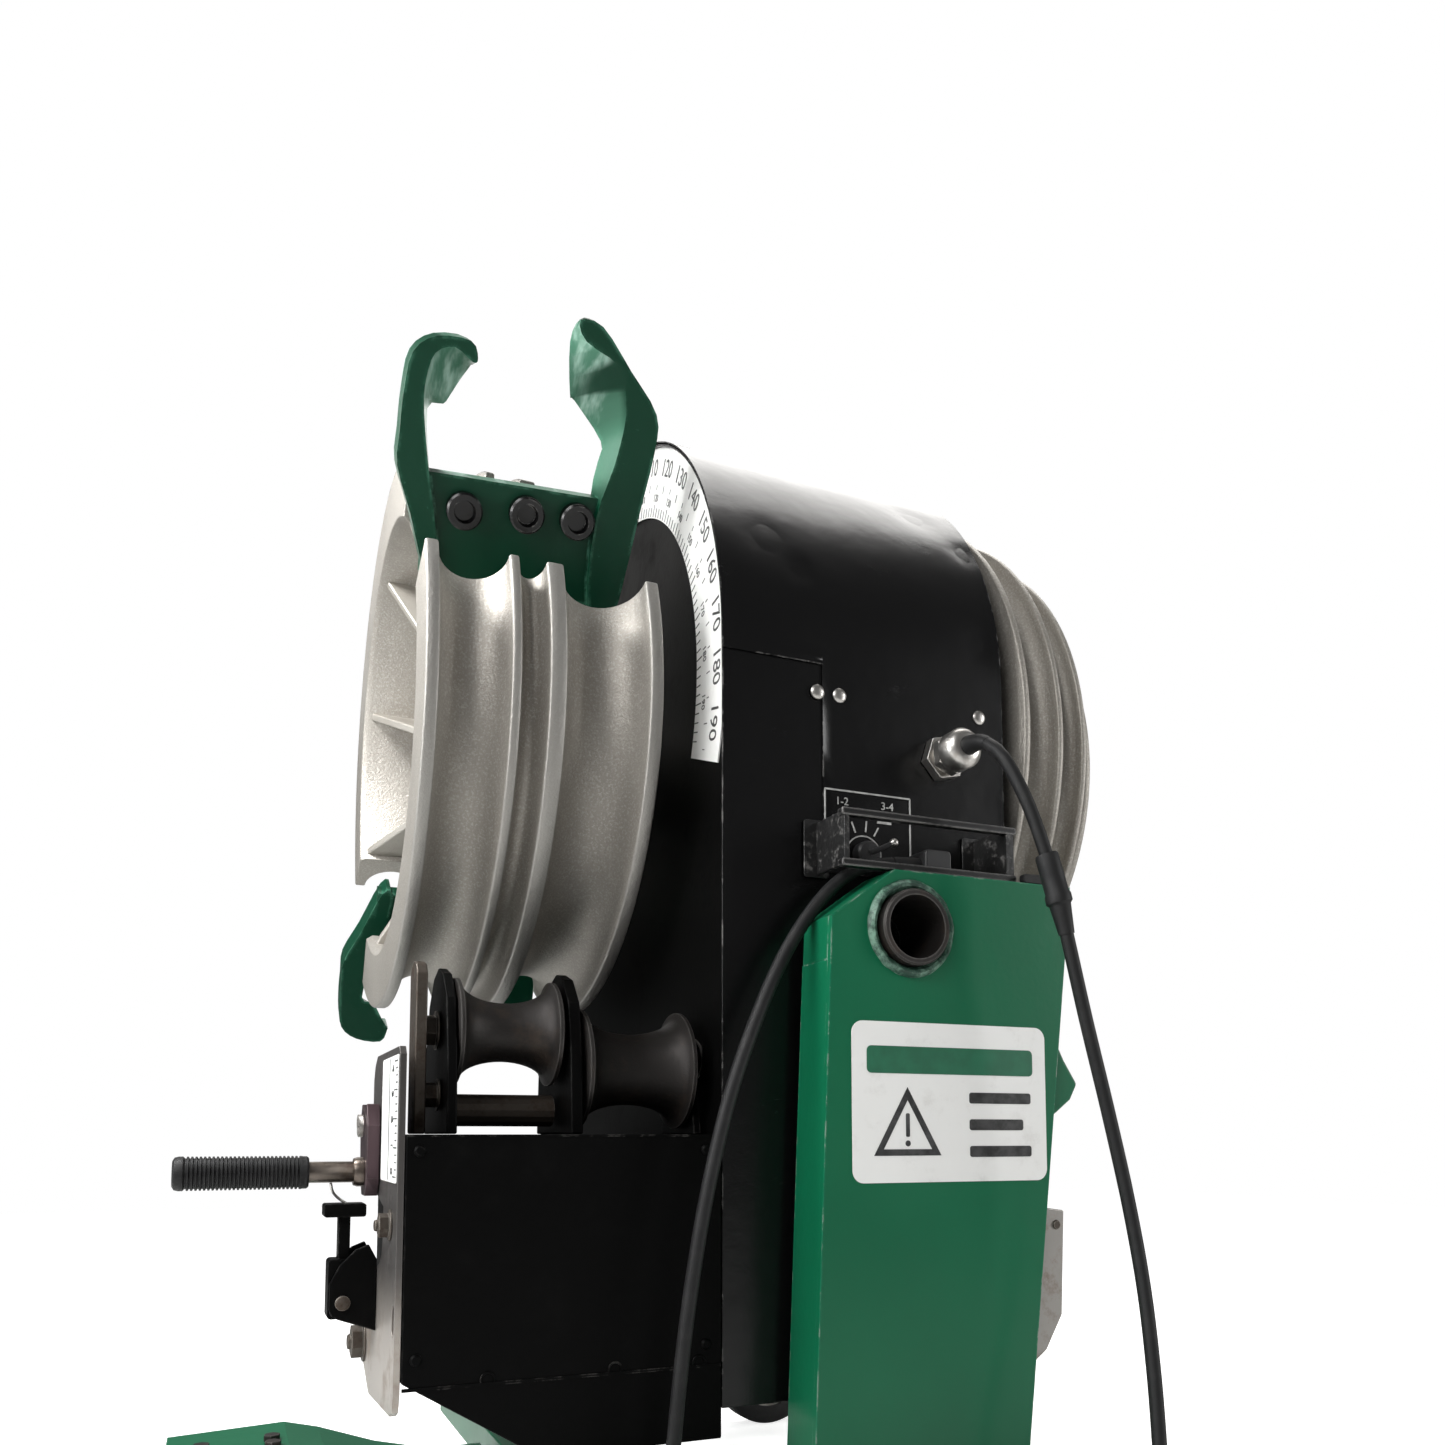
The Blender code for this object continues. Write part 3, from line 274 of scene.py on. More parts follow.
def make_finishes():
    made = {}
    cast = Finish("cast_aluminium_sand", (0.36, 0.338, 0.303), 0.46, 0.55)
    cast.paint(cast.ramp(cast.noise(9.0, 6.0), 0.35, 0.75), (0.29, 0.268, 0.238), 0.7)
    cast.paint(cast.ramp(cast.noise(480.0, 3.0, 0.7), 0.48, 0.68), (0.54, 0.52, 0.485), 0.6)
    ridge = cast.combine(cast.ramp(radius_from_shaft(cast), 0.2572, 0.2592),
                         cast.ramp(cast.axis("X"), 0.0, 0.1, 1.0, 0.0))
    cast.paint(ridge, (0.33, 0.32, 0.30), 0.8).gloss(ridge, 0.40)
    cast.relief(cast.noise(420.0, 3.0, 0.7), 0.0010, 0.6).relief(cast.noise(60.0, 4.0), 0.0016, 0.35)
    made["cast_aluminium"] = cast

    recess = Finish("cast_aluminium_rough", (0.40, 0.378, 0.34), 0.5, 0.5)
    recess.paint(recess.ramp(recess.noise(22.0, 5.0), 0.35, 0.75), (0.29, 0.262, 0.225), 0.6)
    recess.paint(recess.edges(0.003), (0.8, 0.79, 0.77), 0.7)
    recess.relief(recess.noise(500.0, 3.0, 0.7), 0.0008, 0.5)
    made["rough_aluminium"] = recess

    green = Finish("green_enamel", (0.0030, 0.128, 0.056), 0.34, 0.0, 0.12, 0.12, 0.3)
    green.paint(green.ramp(green.noise(5.0, 3.0), 0.3, 0.7), (0.0025, 0.105, 0.046), 0.7)
    chips = green.combine(green.edges(0.0022), green.ramp(green.noise(70.0, 5.0, 0.7), 0.50, 0.60))
    green.paint(green.edges(0.003), (0.012, 0.22, 0.12), 0.5).paint(chips, (0.42, 0.45, 0.42), 0.8)
    scratch = green.ramp(green.noise(40.0, 8.0, 0.8, (1.0, 1.0, 0.12)), 0.66, 0.72)
    green.paint(scratch, (0.03, 0.20, 0.12), 0.5).gloss(green.ramp(green.noise(14.0), 0.4, 0.7), 0.38)
    green.relief(green.noise(160.0, 2.0), 0.0004, 0.25)
    made["green_paint"] = green

    hook = Finish("green_enamel_worn", (0.0012, 0.038, 0.018), 0.36, 0.0, 0.0, 0.15, 0.2)
    worn = hook.combine(hook.edges(0.006), hook.ramp(hook.noise(45.0, 6.0, 0.7), 0.42, 0.62))
    hook.paint(worn, (0.10, 0.30, 0.20), 0.6)
    hook.paint(hook.ramp(hook.noise(85.0, 8.0, 0.75), 0.64, 0.70), (0.05, 0.17, 0.11), 0.5)
    cradle = hook_cradle(hook)
    hook.paint(cradle, (0.09, 0.23, 0.155), 0.6)
    streak = hook.combine(cradle, hook.ramp(hook.noise(24.0, 5.0, 0.6, (1.0, 0.3, 0.3)), 0.5, 0.62))
    hook.paint(streak, (0.45, 0.62, 0.54), 0.6)
    hook.relief(hook.noise(120.0, 3.0), 0.0007, 0.4).gloss(hook.ramp(hook.noise(30.0), 0.4, 0.7), 0.45)
    made["hook_green"] = hook

    black = Finish("black_enamel", (0.0022, 0.0022, 0.0024), 0.27, 0.0, 0.0, 0.1, 0.42)
    scuff = black.ramp(black.noise(34.0, 9.0, 0.8, (0.35, 1.0, 1.0)), 0.62, 0.74)
    black.paint(scuff, (0.012, 0.012, 0.0125), 0.5).gloss(scuff, 0.4)
    rub = black.combine(black.edges(0.002), black.ramp(black.noise(60.0, 6.0, 0.7), 0.5, 0.62))
    black.paint(rub, (0.32, 0.31, 0.30), 0.7)
    black.relief(black.noise(300.0, 2.0), 0.00025, 0.3).relief(black.noise(11.0, 3.0), 0.006, 0.22)
    made["black_paint"] = black

    matt = Finish("black_enamel_matt", (0.0010, 0.0010, 0.0010), 0.5, specular=0.08)
    dust = matt.ramp(matt.noise(18.0, 7.0, 0.7), 0.5, 0.8)
    matt.paint(dust, (0.0035, 0.0034, 0.0033), 0.6).gloss(dust, 0.62)
    rub = matt.combine(matt.edges(0.002), matt.ramp(matt.noise(75.0, 6.0, 0.7), 0.5, 0.6))
    matt.paint(rub, (0.10, 0.095, 0.09), 0.6).relief(matt.noise(260.0, 2.0), 0.0003, 0.3)
    made["matt_black"] = matt

    for name, base, worn_share in (("scuffed_black", (0.010, 0.010, 0.010), 0.52),
                                   ("weld_green", (0.016, 0.055, 0.036), 0.44)):
        scuffed = Finish(name + "_paint", base, 0.4)
        tone = (0.15, 0.145, 0.14) if name == "scuffed_black" else (0.20, 0.36, 0.27)
        scuffed.paint(scuffed.ramp(scuffed.noise(75.0, 8.0, 0.75), worn_share, 0.64), tone, 0.8)
        scuffed.relief(scuffed.noise(160.0, 4.0), 0.001, 0.5)
        made[name] = scuffed
    rod = Finish("rod_black_worn", (0.004, 0.004, 0.004), 0.35)
    rubbed = rod.combine(rod.edges(0.003), rod.ramp(rod.noise(40.0, 6.0, 0.7), 0.36, 0.5))
    rod.paint(rubbed, (0.42, 0.41, 0.40), 0.85)
    made["rod_black"] = rod
    print_green = Finish("label_green_print", (0.012, 0.14, 0.07), 0.4)
    made["label_green"] = print_green.mottle(0.2, 60.0)

    steel = Finish("worn_steel", (0.36, 0.345, 0.325), 0.38, 0.85)
    rust = steel.ramp(steel.noise(26.0, 8.0, 0.7), 0.5, 0.68)
    steel.paint(rust, (0.17, 0.11, 0.07), 0.6).gloss(rust, 0.62)
    steel.relief(steel.noise(400.0, 3.0, 0.7, (1.0, 1.0, 0.2)), 0.0003, 0.4)
    made["steel"] = steel

    plate = Finish("stained_plate_steel_painted_shade", (0.40, 0.365, 0.33), 0.36, 0.6)
    stain = plate.ramp(plate.noise(18.0, 8.0, 0.7), 0.5, 0.7)
    plate.paint(stain, (0.24, 0.18, 0.14), 0.6)
    # Painted shade: the plate turns near black from z 0.262 up to z 0.325 and stays so above, by a smooth
    # ramp on height.
    high = plate.ramp(plate.axis("Z"), 0.262, 0.325)
    plate.paint(high, (0.055, 0.052, 0.052), 0.9)
    plate.paint(plate.edges(0.0015), (0.30, 0.29, 0.28), 0.5).gloss(stain, 0.55)
    made["plate_steel"] = plate
    shank = Finish("lever_shank_steel", (0.17, 0.145, 0.125), 0.32, 0.85)
    shank.paint(shank.ramp(shank.noise(45.0, 6.0, 0.7), 0.45, 0.7), (0.09, 0.065, 0.05), 0.7)
    made["rod_steel"] = shank

    brown = Finish("oiled_brown_steel", (0.085, 0.072, 0.060), 0.45, 0.7)
    rust = brown.ramp(brown.noise(40.0, 8.0, 0.7), 0.45, 0.65)
    brown.paint(rust, (0.05, 0.032, 0.022), 0.8).gloss(rust, 0.7)
    brown.paint(brown.edges(0.0015), (0.42, 0.40, 0.36), 0.6)
    brown.relief(brown.noise(500.0, 3.0), 0.0003, 0.4)
    made["brown_steel"] = brown

    iron = Finish("oiled_cast_iron", (0.026, 0.023, 0.0215), 0.45, 0.6)
    iron.paint(iron.ramp(iron.noise(35.0, 8.0, 0.7), 0.5, 0.7), (0.065, 0.046, 0.034), 0.5)
    iron.paint(iron.edges(0.0025), (0.22, 0.21, 0.20), 0.6)
    iron.relief(iron.noise(450.0, 3.0, 0.7), 0.0005, 0.5).gloss(iron.ramp(iron.noise(20.0), 0.4, 0.7), 0.62)
    made["dark_steel"] = iron

    nickel = Finish("nickel_plate", (0.62, 0.60, 0.57), 0.34, 1.0)
    tarnish = nickel.ramp(nickel.noise(120.0, 5.0), 0.5, 0.75)
    nickel.paint(tarnish, (0.36, 0.33, 0.29), 0.6).gloss(tarnish, 0.4)
    made["nickel"] = nickel

    cam = Finish("tempered_steel", (0.085, 0.055, 0.062), 0.36, 0.75)
    cam.paint(cam.ramp(cam.noise(35.0, 6.0), 0.45, 0.7), (0.035, 0.026, 0.030), 0.7)
    cam.paint(cam.edges(0.0015), (0.30, 0.28, 0.27), 0.6)
    made["tempered"] = cam

    rubber = Finish("black_rubber", (0.010, 0.010, 0.0105), 0.55, specular=0.3)
    rubber.paint(rubber.ramp(rubber.noise(60.0, 6.0), 0.45, 0.75), (0.024, 0.0235, 0.023), 0.5)
    rubber.relief(rubber.noise(900.0, 2.0), 0.0002, 0.4)
    made["rubber"] = rubber

    plastic = Finish("moulded_plastic", (0.02, 0.02, 0.021), 0.4)
    plastic.paint(plastic.edges(0.001), (0.07, 0.07, 0.07), 0.5)
    plastic.relief(plastic.noise(1100.0, 2.0), 0.00015, 0.5)
    made["plastic"] = plastic

    for name, colour in (("scale_white", (0.78, 0.78, 0.76)), ("label_white", (0.86, 0.86, 0.84))):
        white = Finish(name + "_print", colour, 0.38)
        white.paint(white.ramp(white.noise(28.0, 7.0, 0.7), 0.52, 0.8), (0.55, 0.53, 0.50), 0.5)
        made[name] = white
    ink = Finish("black_ink", (0.012, 0.012, 0.012), 0.4)
    made["ink"] = ink.mottle(0.25, 90.0, (0.2, 0.2, 0.2))
    line = Finish("white_ink", (0.62, 0.62, 0.60), 0.45)
    made["white_ink"] = line.mottle(0.5, 140.0, (0.12, 0.12, 0.12))
    for name, colour in (("button_green", (0.015, 0.22, 0.07)), ("button_red", (0.45, 0.018, 0.02))):
        cap = Finish(name + "_cap", colour, 0.35)
        made[name] = cap.mottle(0.2, 200.0)
    return {name: finish.mat for name, finish in made.items()}


# Mesh helpers --------------------------------------------------------------------
def smooth_mesh(mesh, angle=35.0):
    mesh.shade_smooth()
    mesh.set_sharp_from_angle(angle=math.radians(angle))


def piece(name, bm, finish, body, replaces=(), bevel=0.0, segments=2, angle=35.0):
    """Makes a piece from a bmesh in world places and lets it ride on a body."""
    bmesh.ops.remove_doubles(bm, verts=bm.verts, dist=1e-6)
    bmesh.ops.recalc_face_normals(bm, faces=bm.faces)
    mesh = bpy.data.meshes.new(name)
    bm.to_mesh(mesh)
    bm.free()
    smooth_mesh(mesh, angle)
    mesh.materials.append(FINISHES[finish])
    obj = bpy.data.objects.new(name, mesh)
    bpy.context.collection.objects.link(obj)
    if bevel:
        round_edges(obj, bevel, segments)
    if body:
        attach(obj, body)
    if replaces:
        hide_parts(*replaces)
    return obj


def round_edges(obj, width, segments=2, angle=35.0, weld=False):
    if weld:
        mod = obj.modifiers.new("weld", "WELD")
        mod.merge_threshold = 1e-5
    mod = obj.modifiers.new("bevel", "BEVEL")
    mod.width = width
    mod.segments = segments
    mod.limit_method = "ANGLE"
    mod.angle_limit = math.radians(angle)
    mod.harden_normals = True


def frames_along(path):
    """Tangent and two steady side directions at each point of a path."""
    tangents = []
    for i in range(len(path)):
        a, b = path[max(0, i - 1)], path[min(len(path) - 1, i + 1)]
        tangents.append((b - a).normalized())
    side = tangents[0].orthogonal().normalized()
    out = []
    for tangent in tangents:
        side = (side - tangent * side.dot(tangent)).normalized()
        out.append((tangent, side, tangent.cross(side)))
    return out


def tube_mesh(bm, path, radius, sides=12):
    """A closed tube along a path; radius is one number or one for each point."""
    path = [Vector(p) for p in path]
    radii = radius if isinstance(radius, (list, tuple)) else [radius] * len(path)
    rings = []
    for point, size, (_, u, v) in zip(path, radii, frames_along(path)):
        rings.append([bm.verts.new(point + (u * math.cos(a) + v * math.sin(a)) * size)
                      for a in (2 * math.pi * k / sides for k in range(sides))])
    for one, two in zip(rings, rings[1:]):
        for k in range(sides):
            m = (k + 1) % sides
            bm.faces.new((one[k], one[m], two[m], two[k]))
    bm.faces.new(rings[0])
    bm.faces.new(rings[-1])


def smooth(points, spacing):
    """Evenly spaced points along a Catmull-Rom curve through the route's points."""
    fine = []
    padded = [points[0]] + list(points) + [points[-1]]
    for i in range(1, len(padded) - 2):
        p0, p1, p2, p3 = (Vector(p) for p in padded[i - 1:i + 3])
        for k in range(24):
            t = k / 24
            fine.append(0.5 * (2 * p1 + (p2 - p0) * t + (2 * p0 - 5 * p1 + 4 * p2 - p3) * t * t
                               + (3 * p1 - p0 - 3 * p2 + p3) * t ** 3))
    fine.append(Vector(points[-1]))
    total = sum((b - a).length for a, b in zip(fine, fine[1:]))
    count = max(2, round(total / spacing))
    step, out, run = total / count, [fine[0]], 0.0
    for a, b in zip(fine, fine[1:]):
        run += (b - a).length
        if run >= step * len(out) - 1e-9 and len(out) < count:
            out.append(b)
    out.append(fine[-1])
    return out


FINISHES = make_finishes()
make_camera()
make_studio()

# Cords ---------------------------------------------------------------------------
POWER_ROUTE = [
    (0.193, -0.3413, 0.753), (0.1933, -0.3562, 0.7508), (0.1955, -0.3688, 0.7432),
    (0.1998, -0.3800, 0.7300), (0.2098, -0.3925, 0.6960), (0.2198, -0.3995, 0.6600),
    (0.2300, -0.4045, 0.6180), (0.2390, -0.4070, 0.5760), (0.2535, -0.4095, 0.510),
    (0.2700, -0.414, 0.435), (0.2795, -0.424, 0.362), (0.2810, -0.437, 0.295), (0.2765, -0.450, 0.232),
    (0.270, -0.461, 0.175), (0.264, -0.470, 0.120), (0.2575, -0.481, 0.0730), (0.2480, -0.4940, 0.0375),
    (0.2290, -0.5075, 0.0145), (0.2010, -0.5160, 0.0064), (0.1726, -0.517, 0.006),
]
# The dark sleeve on the power cord, as (height, radius) down the cord.
SLEEVE = ((0.6460, 0.0088), (0.6440, 0.0096), (0.6290, 0.0096), (0.6140, 0.0096), (0.6120, 0.0108),
          (0.6060, 0.0108), (0.6040, 0.0088), (0.5800, 0.0064))
PENDANT_ROUTE = [
    (0.1494, -0.3220, 0.6450), (0.1240, -0.3220, 0.6458), (0.0985, -0.3222, 0.6410),
    (0.0763, -0.3228, 0.6290), (0.0520, -0.3240, 0.6055), (0.0250, -0.3255, 0.5678),
    (0.0015, -0.3260, 0.5213), (-0.0251, -0.3260, 0.4520), (-0.0446, -0.3255, 0.3770),
    (-0.0585, -0.3250, 0.3005), (-0.0668, -0.3240, 0.2350), (-0.0720, -0.3200, 0.1686),
    (-0.0740, -0.3120, 0.112), (-0.0715, -0.2960, 0.0625), (-0.061, -0.2730, 0.0270),
    (-0.039, -0.2470, 0.0085), (-0.005, -0.2305, 0.006), (0.0372, -0.2280, 0.006),
]
POWER_COIL = (0.130, -0.585)
PENDANT_COIL = (0.080, -0.160)
PLUG_Z = 0.0767              # the plug lies on top of its coil
FLOOR_Z = 0.006              # middle of a cord that lies on the floor
ROUTE_STEP = 0.012           # spacing of the points along a cord
RELIEF_Z = 0.0275            # the handset's cord entry, level with its coil's top row
COIL_IN_R, COIL_OUT_R = 0.056, 0.068
ROW_STEP = 0.01155           # one cord's thickness and a little air
SHIFT_ARC = 50.0             # degrees in which a turn moves over to its next place


def ease(t):
    return t * t * (3 - 2 * t)


def coil_path(centre, start, first_arc, slots, last_arc):
    """Points of a coil wound anticlockwise; each slot is (0 for outer or 1 for inner, row)."""
    def place(slot):
        return (COIL_IN_R if slot[0] else COIL_OUT_R), FLOOR_Z + ROW_STEP * slot[1]

    def at(angle, radius, height):
        a = math.radians(angle)
        return Vector((centre[0] + radius * math.cos(a), centre[1] + radius * math.sin(a), height))

    points, angle = [], start
    for i, slot in enumerate(slots):
        radius, height = place(slot)
        arc = first_arc if i == 0 else (last_arc if i == len(slots) - 1 else 360 - 2 * SHIFT_ARC)
        steps = max(3, round(arc / 12))
        points += [at(angle + arc * k / steps, radius, height) for k in range(steps)]
        angle += arc
        if i < len(slots) - 1:
            next_radius, next_height = place(slots[i + 1])
            for k in range(6):
                t = ease(k / 6)
                if radius != next_radius and height != next_height:
                    t *= math.pi / 2
                    r = next_radius + (radius - next_radius) * math.cos(t)
                    z = height + (next_height - height) * math.sin(t)
                else:
                    r, z = radius + (next_radius - radius) * t, height + (next_height - height) * t
                points.append(at(angle + SHIFT_ARC * k / 6, r, z))
            angle += SHIFT_ARC
    points.append(at(angle, *place(slots[-1])))
    return points


def at_height(points, height):
    """The spot where a falling line of points passes a height."""
    for a, b in zip(points, points[1:]):
        if b.z <= height < a.z:
            return a.lerp(b, (a.z - height) / (a.z - b.z))


def make_cord(name, points, nodes_replaced):
    length = sum((b - a).length for a, b in zip(points, points[1:]))
    bm = bmesh.new()
    tube_mesh(bm, points, CORD_R, 12)
    cord = piece(name, bm, "rubber", None, nodes_replaced, angle=60.0)
    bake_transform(cord)
    return length


def make_cords():
    outer_in = [(0, 0), (1, 0), (1, 1), (0, 1), (0, 2), (1, 2), (1, 3), (0, 3), (0, 4), (1, 4)]
    path = smooth(POWER_ROUTE, ROUTE_STEP)
    path += [Vector((x, -0.517, FLOOR_Z)) for x in (0.160, 0.150, 0.140)]
    path += coil_path(POWER_COIL, 90.0, 260.0, outer_in, 70.0)
    y = POWER_COIL[1]
    for k in range(1, 9):
        t = k / 8
        a = math.radians(70 + 84 * t)
        radius = COIL_IN_R + (0.0689 - COIL_IN_R) * ease(t)
        path.append(Vector((POWER_COIL[0] + radius * math.cos(a), y + radius * math.sin(a),
                            FLOOR_Z + 4 * ROW_STEP + (PLUG_Z - FLOOR_Z - 4 * ROW_STEP) * ease(t))))
    bm = bmesh.new()
    tube_mesh(bm, [at_height(path[4:], height) for height, _ in SLEEVE], [size for _, size in SLEEVE], 20)
    sleeve = piece("mains_sleeve", bm, "rubber", "head")
    make_cord("power_lead", path,
              ("power_cord", "power_cord_coil"))
    path = smooth(PENDANT_ROUTE, ROUTE_STEP)
    path += [Vector((x, -0.228, FLOOR_Z)) for x in (0.050, 0.060, 0.070)]
    slots = [(0, 0), (1, 0), (1, 1), (0, 1), (1, 2), (0, 2)]
    path += coil_path(PENDANT_COIL, 270.0, 290.0, slots, 310.0)
    end = Vector((PENDANT_COIL[0] + 0.062, -0.108, RELIEF_Z))
    start = path[-1]
    for k in range(1, 6):
        t = k / 5
        path.append(Vector((start.x + (end.x - start.x) * ease(t), start.y + (end.y - start.y) * t,
                            start.z + (end.z - start.z) * ease(t))))
    make_cord("pendant_lead", path,
              ("pendant_cord", "pendant_cord_coil"))



# Shared shapes ---------------------------------------------------------------------
def prism(bm, outline, axis, low, high):
    """Extrudes a flat outline along axis X, Y or Z; the outline holds the other two in order."""
    def place(a, b, level):
        return {"X": (level, a, b), "Y": (a, level, b), "Z": (a, b, level)}[axis]
    bottom = [bm.verts.new(place(a, b, low)) for a, b in outline]
    top = [bm.verts.new(place(a, b, high)) for a, b in outline]
    bm.faces.new(bottom)
    bm.faces.new(top)
    for i in range(len(outline)):
        j = (i + 1) % len(outline)
        bm.faces.new((bottom[i], bottom[j], top[j], top[i]))


def rect(a0, b0, a1, b1):
    return [(a0, b0), (a1, b0), (a1, b1), (a0, b1)]


def arc(centre, radius, start, end, steps):
    angles = [math.radians(start + (end - start) * i / steps) for i in range(steps + 1)]
    return [(centre[0] + radius * math.cos(a), centre[1] + radius * math.sin(a)) for a in angles]


def rounded(a0, b0, a1, b1, radius, steps=6):
    """A rectangle with round corners."""
    line = []
    for centre, start in (((a1 - radius, b0 + radius), -90), ((a1 - radius, b1 - radius), 0),
                          ((a0 + radius, b1 - radius), 90), ((a0 + radius, b0 + radius), 180)):
        line += arc(centre, radius, start, start + 90, steps)
    return line


def closed_smooth(points, steps=5):
    """A closed Catmull-Rom curve through flat points."""
    count, out = len(points), []
    for i in range(count):
        p0, p1, p2, p3 = (Vector(points[(i + k) % count]) for k in (-1, 0, 1, 2))
        for k in range(steps):
            t = k / steps
            spot = 0.5 * (2 * p1 + (p2 - p0) * t + (2 * p0 - 5 * p1 + 4 * p2 - p3) * t * t
                          + (3 * p1 - p0 - 3 * p2 + p3) * t ** 3)
            out.append((spot.x, spot.y))
    return out


def turned(bm, profile, axis, centre, sides=48):
    """Turns a line of (along, radius) points round an axis; its ends close on the axis or meet."""
    rings = []
    for along, radius in profile:
        ring = []
        for k in range(1 if radius < 1e-9 else sides):
            a = 2 * math.pi * k / sides
            p, q = centre[0] + radius * math.cos(a), centre[1] + radius * math.sin(a)
            ring.append(bm.verts.new({"X": (along, p, q), "Y": (p, along, q), "Z": (p, q, along)}[axis]))
        rings.append(ring)
    pairs = list(zip(rings, rings[1:]))
    if profile[0][1] > 1e-9:
        pairs.append((rings[-1], rings[0]))
    for one, two in pairs:
        for k in range(sides):
            m = (k + 1) % sides
            if len(one) == 1 and len(two) == 1:
                continue
            if len(one) == 1:
                bm.faces.new((one[0], two[m], two[k]))
            elif len(two) == 1:
                bm.faces.new((one[k], one[m], two[0]))
            else:
                bm.faces.new((one[k], one[m], two[m], two[k]))


def hexagon(centre, across, turn=0.0):
    radius = across / math.sqrt(3)
    return arc(centre, radius, turn, turn + 300, 5)


def swept_sector(bm, profile, start, end, steps):
    """Sweeps a closed profile of (x, radius) round the shaft between two angles."""
    rings = []
    for i in range(steps + 1):
        a = math.radians(start + (end - start) * i / steps)
        rings.append([bm.verts.new((x, r * math.cos(a), SHAFT_Z + r * math.sin(a))) for x, r in profile])
    for one, two in zip(rings, rings[1:]):
        for k in range(len(profile)):
            m = (k + 1) % len(profile)
            bm.faces.new((one[k], one[m], two[m], two[k]))
    bm.faces.new(rings[0])
    bm.faces.new(rings[-1])


def words(bm, text, size, place, depth=0.0002):
    """Adds flat raised characters; place is the matrix of their middle."""
    curve = bpy.data.curves.new("words", "FONT")
    curve.body = text
    curve.size = size
    curve.extrude = depth
    curve.align_x = "CENTER"
    curve.align_y = "CENTER"
    curve.resolution_u = 3
    obj = bpy.data.objects.new("words", curve)
    bpy.context.collection.objects.link(obj)
    bpy.context.view_layer.update()
    mesh = bpy.data.meshes.new_from_object(obj)
    mesh.transform(place)
    bm.from_mesh(mesh)
    bpy.data.objects.remove(obj)
    bpy.data.curves.remove(curve)
    bpy.data.meshes.remove(mesh)


def basis(across, up, origin):
    """A matrix whose X is across, Y is up and Z is their cross product."""
    x, y = Vector(across).normalized(), Vector(up).normalized()
    z = x.cross(y)
    return Matrix(((x.x, y.x, z.x, origin[0]), (x.y, y.y, z.y, origin[1]), (x.z, y.z, z.z, origin[2]),
                   (0.0, 0.0, 0.0, 1.0)))


def bake(obj):
    """Applies an object's modifiers to its mesh."""
    graph = bpy.context.evaluated_depsgraph_get()
    graph.update()
    mesh = bpy.data.meshes.new_from_object(obj.evaluated_get(graph))
    obj.modifiers.clear()
    obj.data = mesh


def cut(bm, *cutters):
    """Returns a bmesh of bm's solid with the cutters' solids taken away."""
    def temporary(source):
        bmesh.ops.recalc_face_normals(source, faces=source.faces)
        mesh = bpy.data.meshes.new("cut")
        source.to_mesh(mesh)
        source.free()
        obj = bpy.data.objects.new("cut", mesh)
        bpy.context.collection.objects.link(obj)
        return obj

    body = temporary(bm)
    tools = [temporary(cutter) for cutter in cutters]
    for tool in tools:
        mod = body.modifiers.new("cut", "BOOLEAN")
        mod.operation = "DIFFERENCE"
        mod.object = tool
    bake(body)
    out = bmesh.new()
    out.from_mesh(body.data)
    for obj in [body, *tools]:
        bpy.data.objects.remove(obj)
    return out


def solid_bm(outline, axis, low, high):
    bm = bmesh.new()
    prism(bm, outline, axis, low, high)
    return bm


# Bending shoes and hooks -------------------------------------------------------------
SECTOR = (-21.0, 122.0)
RIM_IN = 0.208
LEFT_GROOVES = [(-0.2454, -0.188, 0.034), (-0.1798, -0.1567, 0.022), (-0.1423, -0.0702, 0.040)]
RIGHT_RIDGES = [(0.282, 0.289, 0.303), (0.330, 0.336, 0.292), (0.372, 0.378, 0.275), (0.410, 0.418, 0.2335)]
RIGHT_DEPTHS = (0.026, 0.022, 0.020)
LEFT_RIBS = (-18, 26, 71, 116)


def shoe_profile(low, high, grooves, steps):
    """Rim section: ridges with rounded shoulders between round-bottomed grooves."""
    land = 0.0016

    def ridge(x0, x1):
        return [(x0, RIM_R - land), (x0 + 0.35 * land, RIM_R - 0.35 * land), (x0 + land, RIM_R),
                (x1 - land, RIM_R), (x1 - 0.35 * land, RIM_R - 0.35 * land), (x1, RIM_R - land)]

    line, left = [(low, RIM_IN)], low
    for x0, x1, depth in grooves:
        line += ridge(left, x0)
        mid, half = (x0 + x1) / 2, (x1 - x0) / 2
        for i in range(1, steps):
            a = math.pi * i / steps
            line.append((mid - half * math.cos(a), RIM_R - land - (depth - land) * math.sin(a)))
        left = x1
    return line + ridge(left, high) + [(high, RIM_IN), (high - 0.006, RIM_IN - 0.004),
                                       (low + 0.006, RIM_IN - 0.004)]


def right_profile(steps):
    """Rim section of the small shoe, whose ridges step down towards its outer end."""
    land, line = 0.0016, [(0.288, 0.244), (0.282, 0.248)]
    for k, (x0, x1, radius) in enumerate(RIGHT_RIDGES):
        line += [(x0, radius - land), (x0 + 0.35 * land, radius - 0.35 * land), (x0 + land, radius),
                 (x1 - land, radius), (x1 - 0.35 * land, radius - 0.35 * land), (x1, radius - land)]
        if k < len(RIGHT_DEPTHS):
            next_x, next_r = RIGHT_RIDGES[k + 1][0], RIGHT_RIDGES[k + 1][2]
            for i in range(1, steps):
                a = math.pi * i / steps
                share = (1 - math.cos(a)) / 2
                line.append((x1 + (next_x - x1) * share, radius - land + (next_r - radius) * share
                             - (RIGHT_DEPTHS[k] - land) * math.sin(a)))
    return line + [(0.418, 0.190), (0.412, 0.188)]


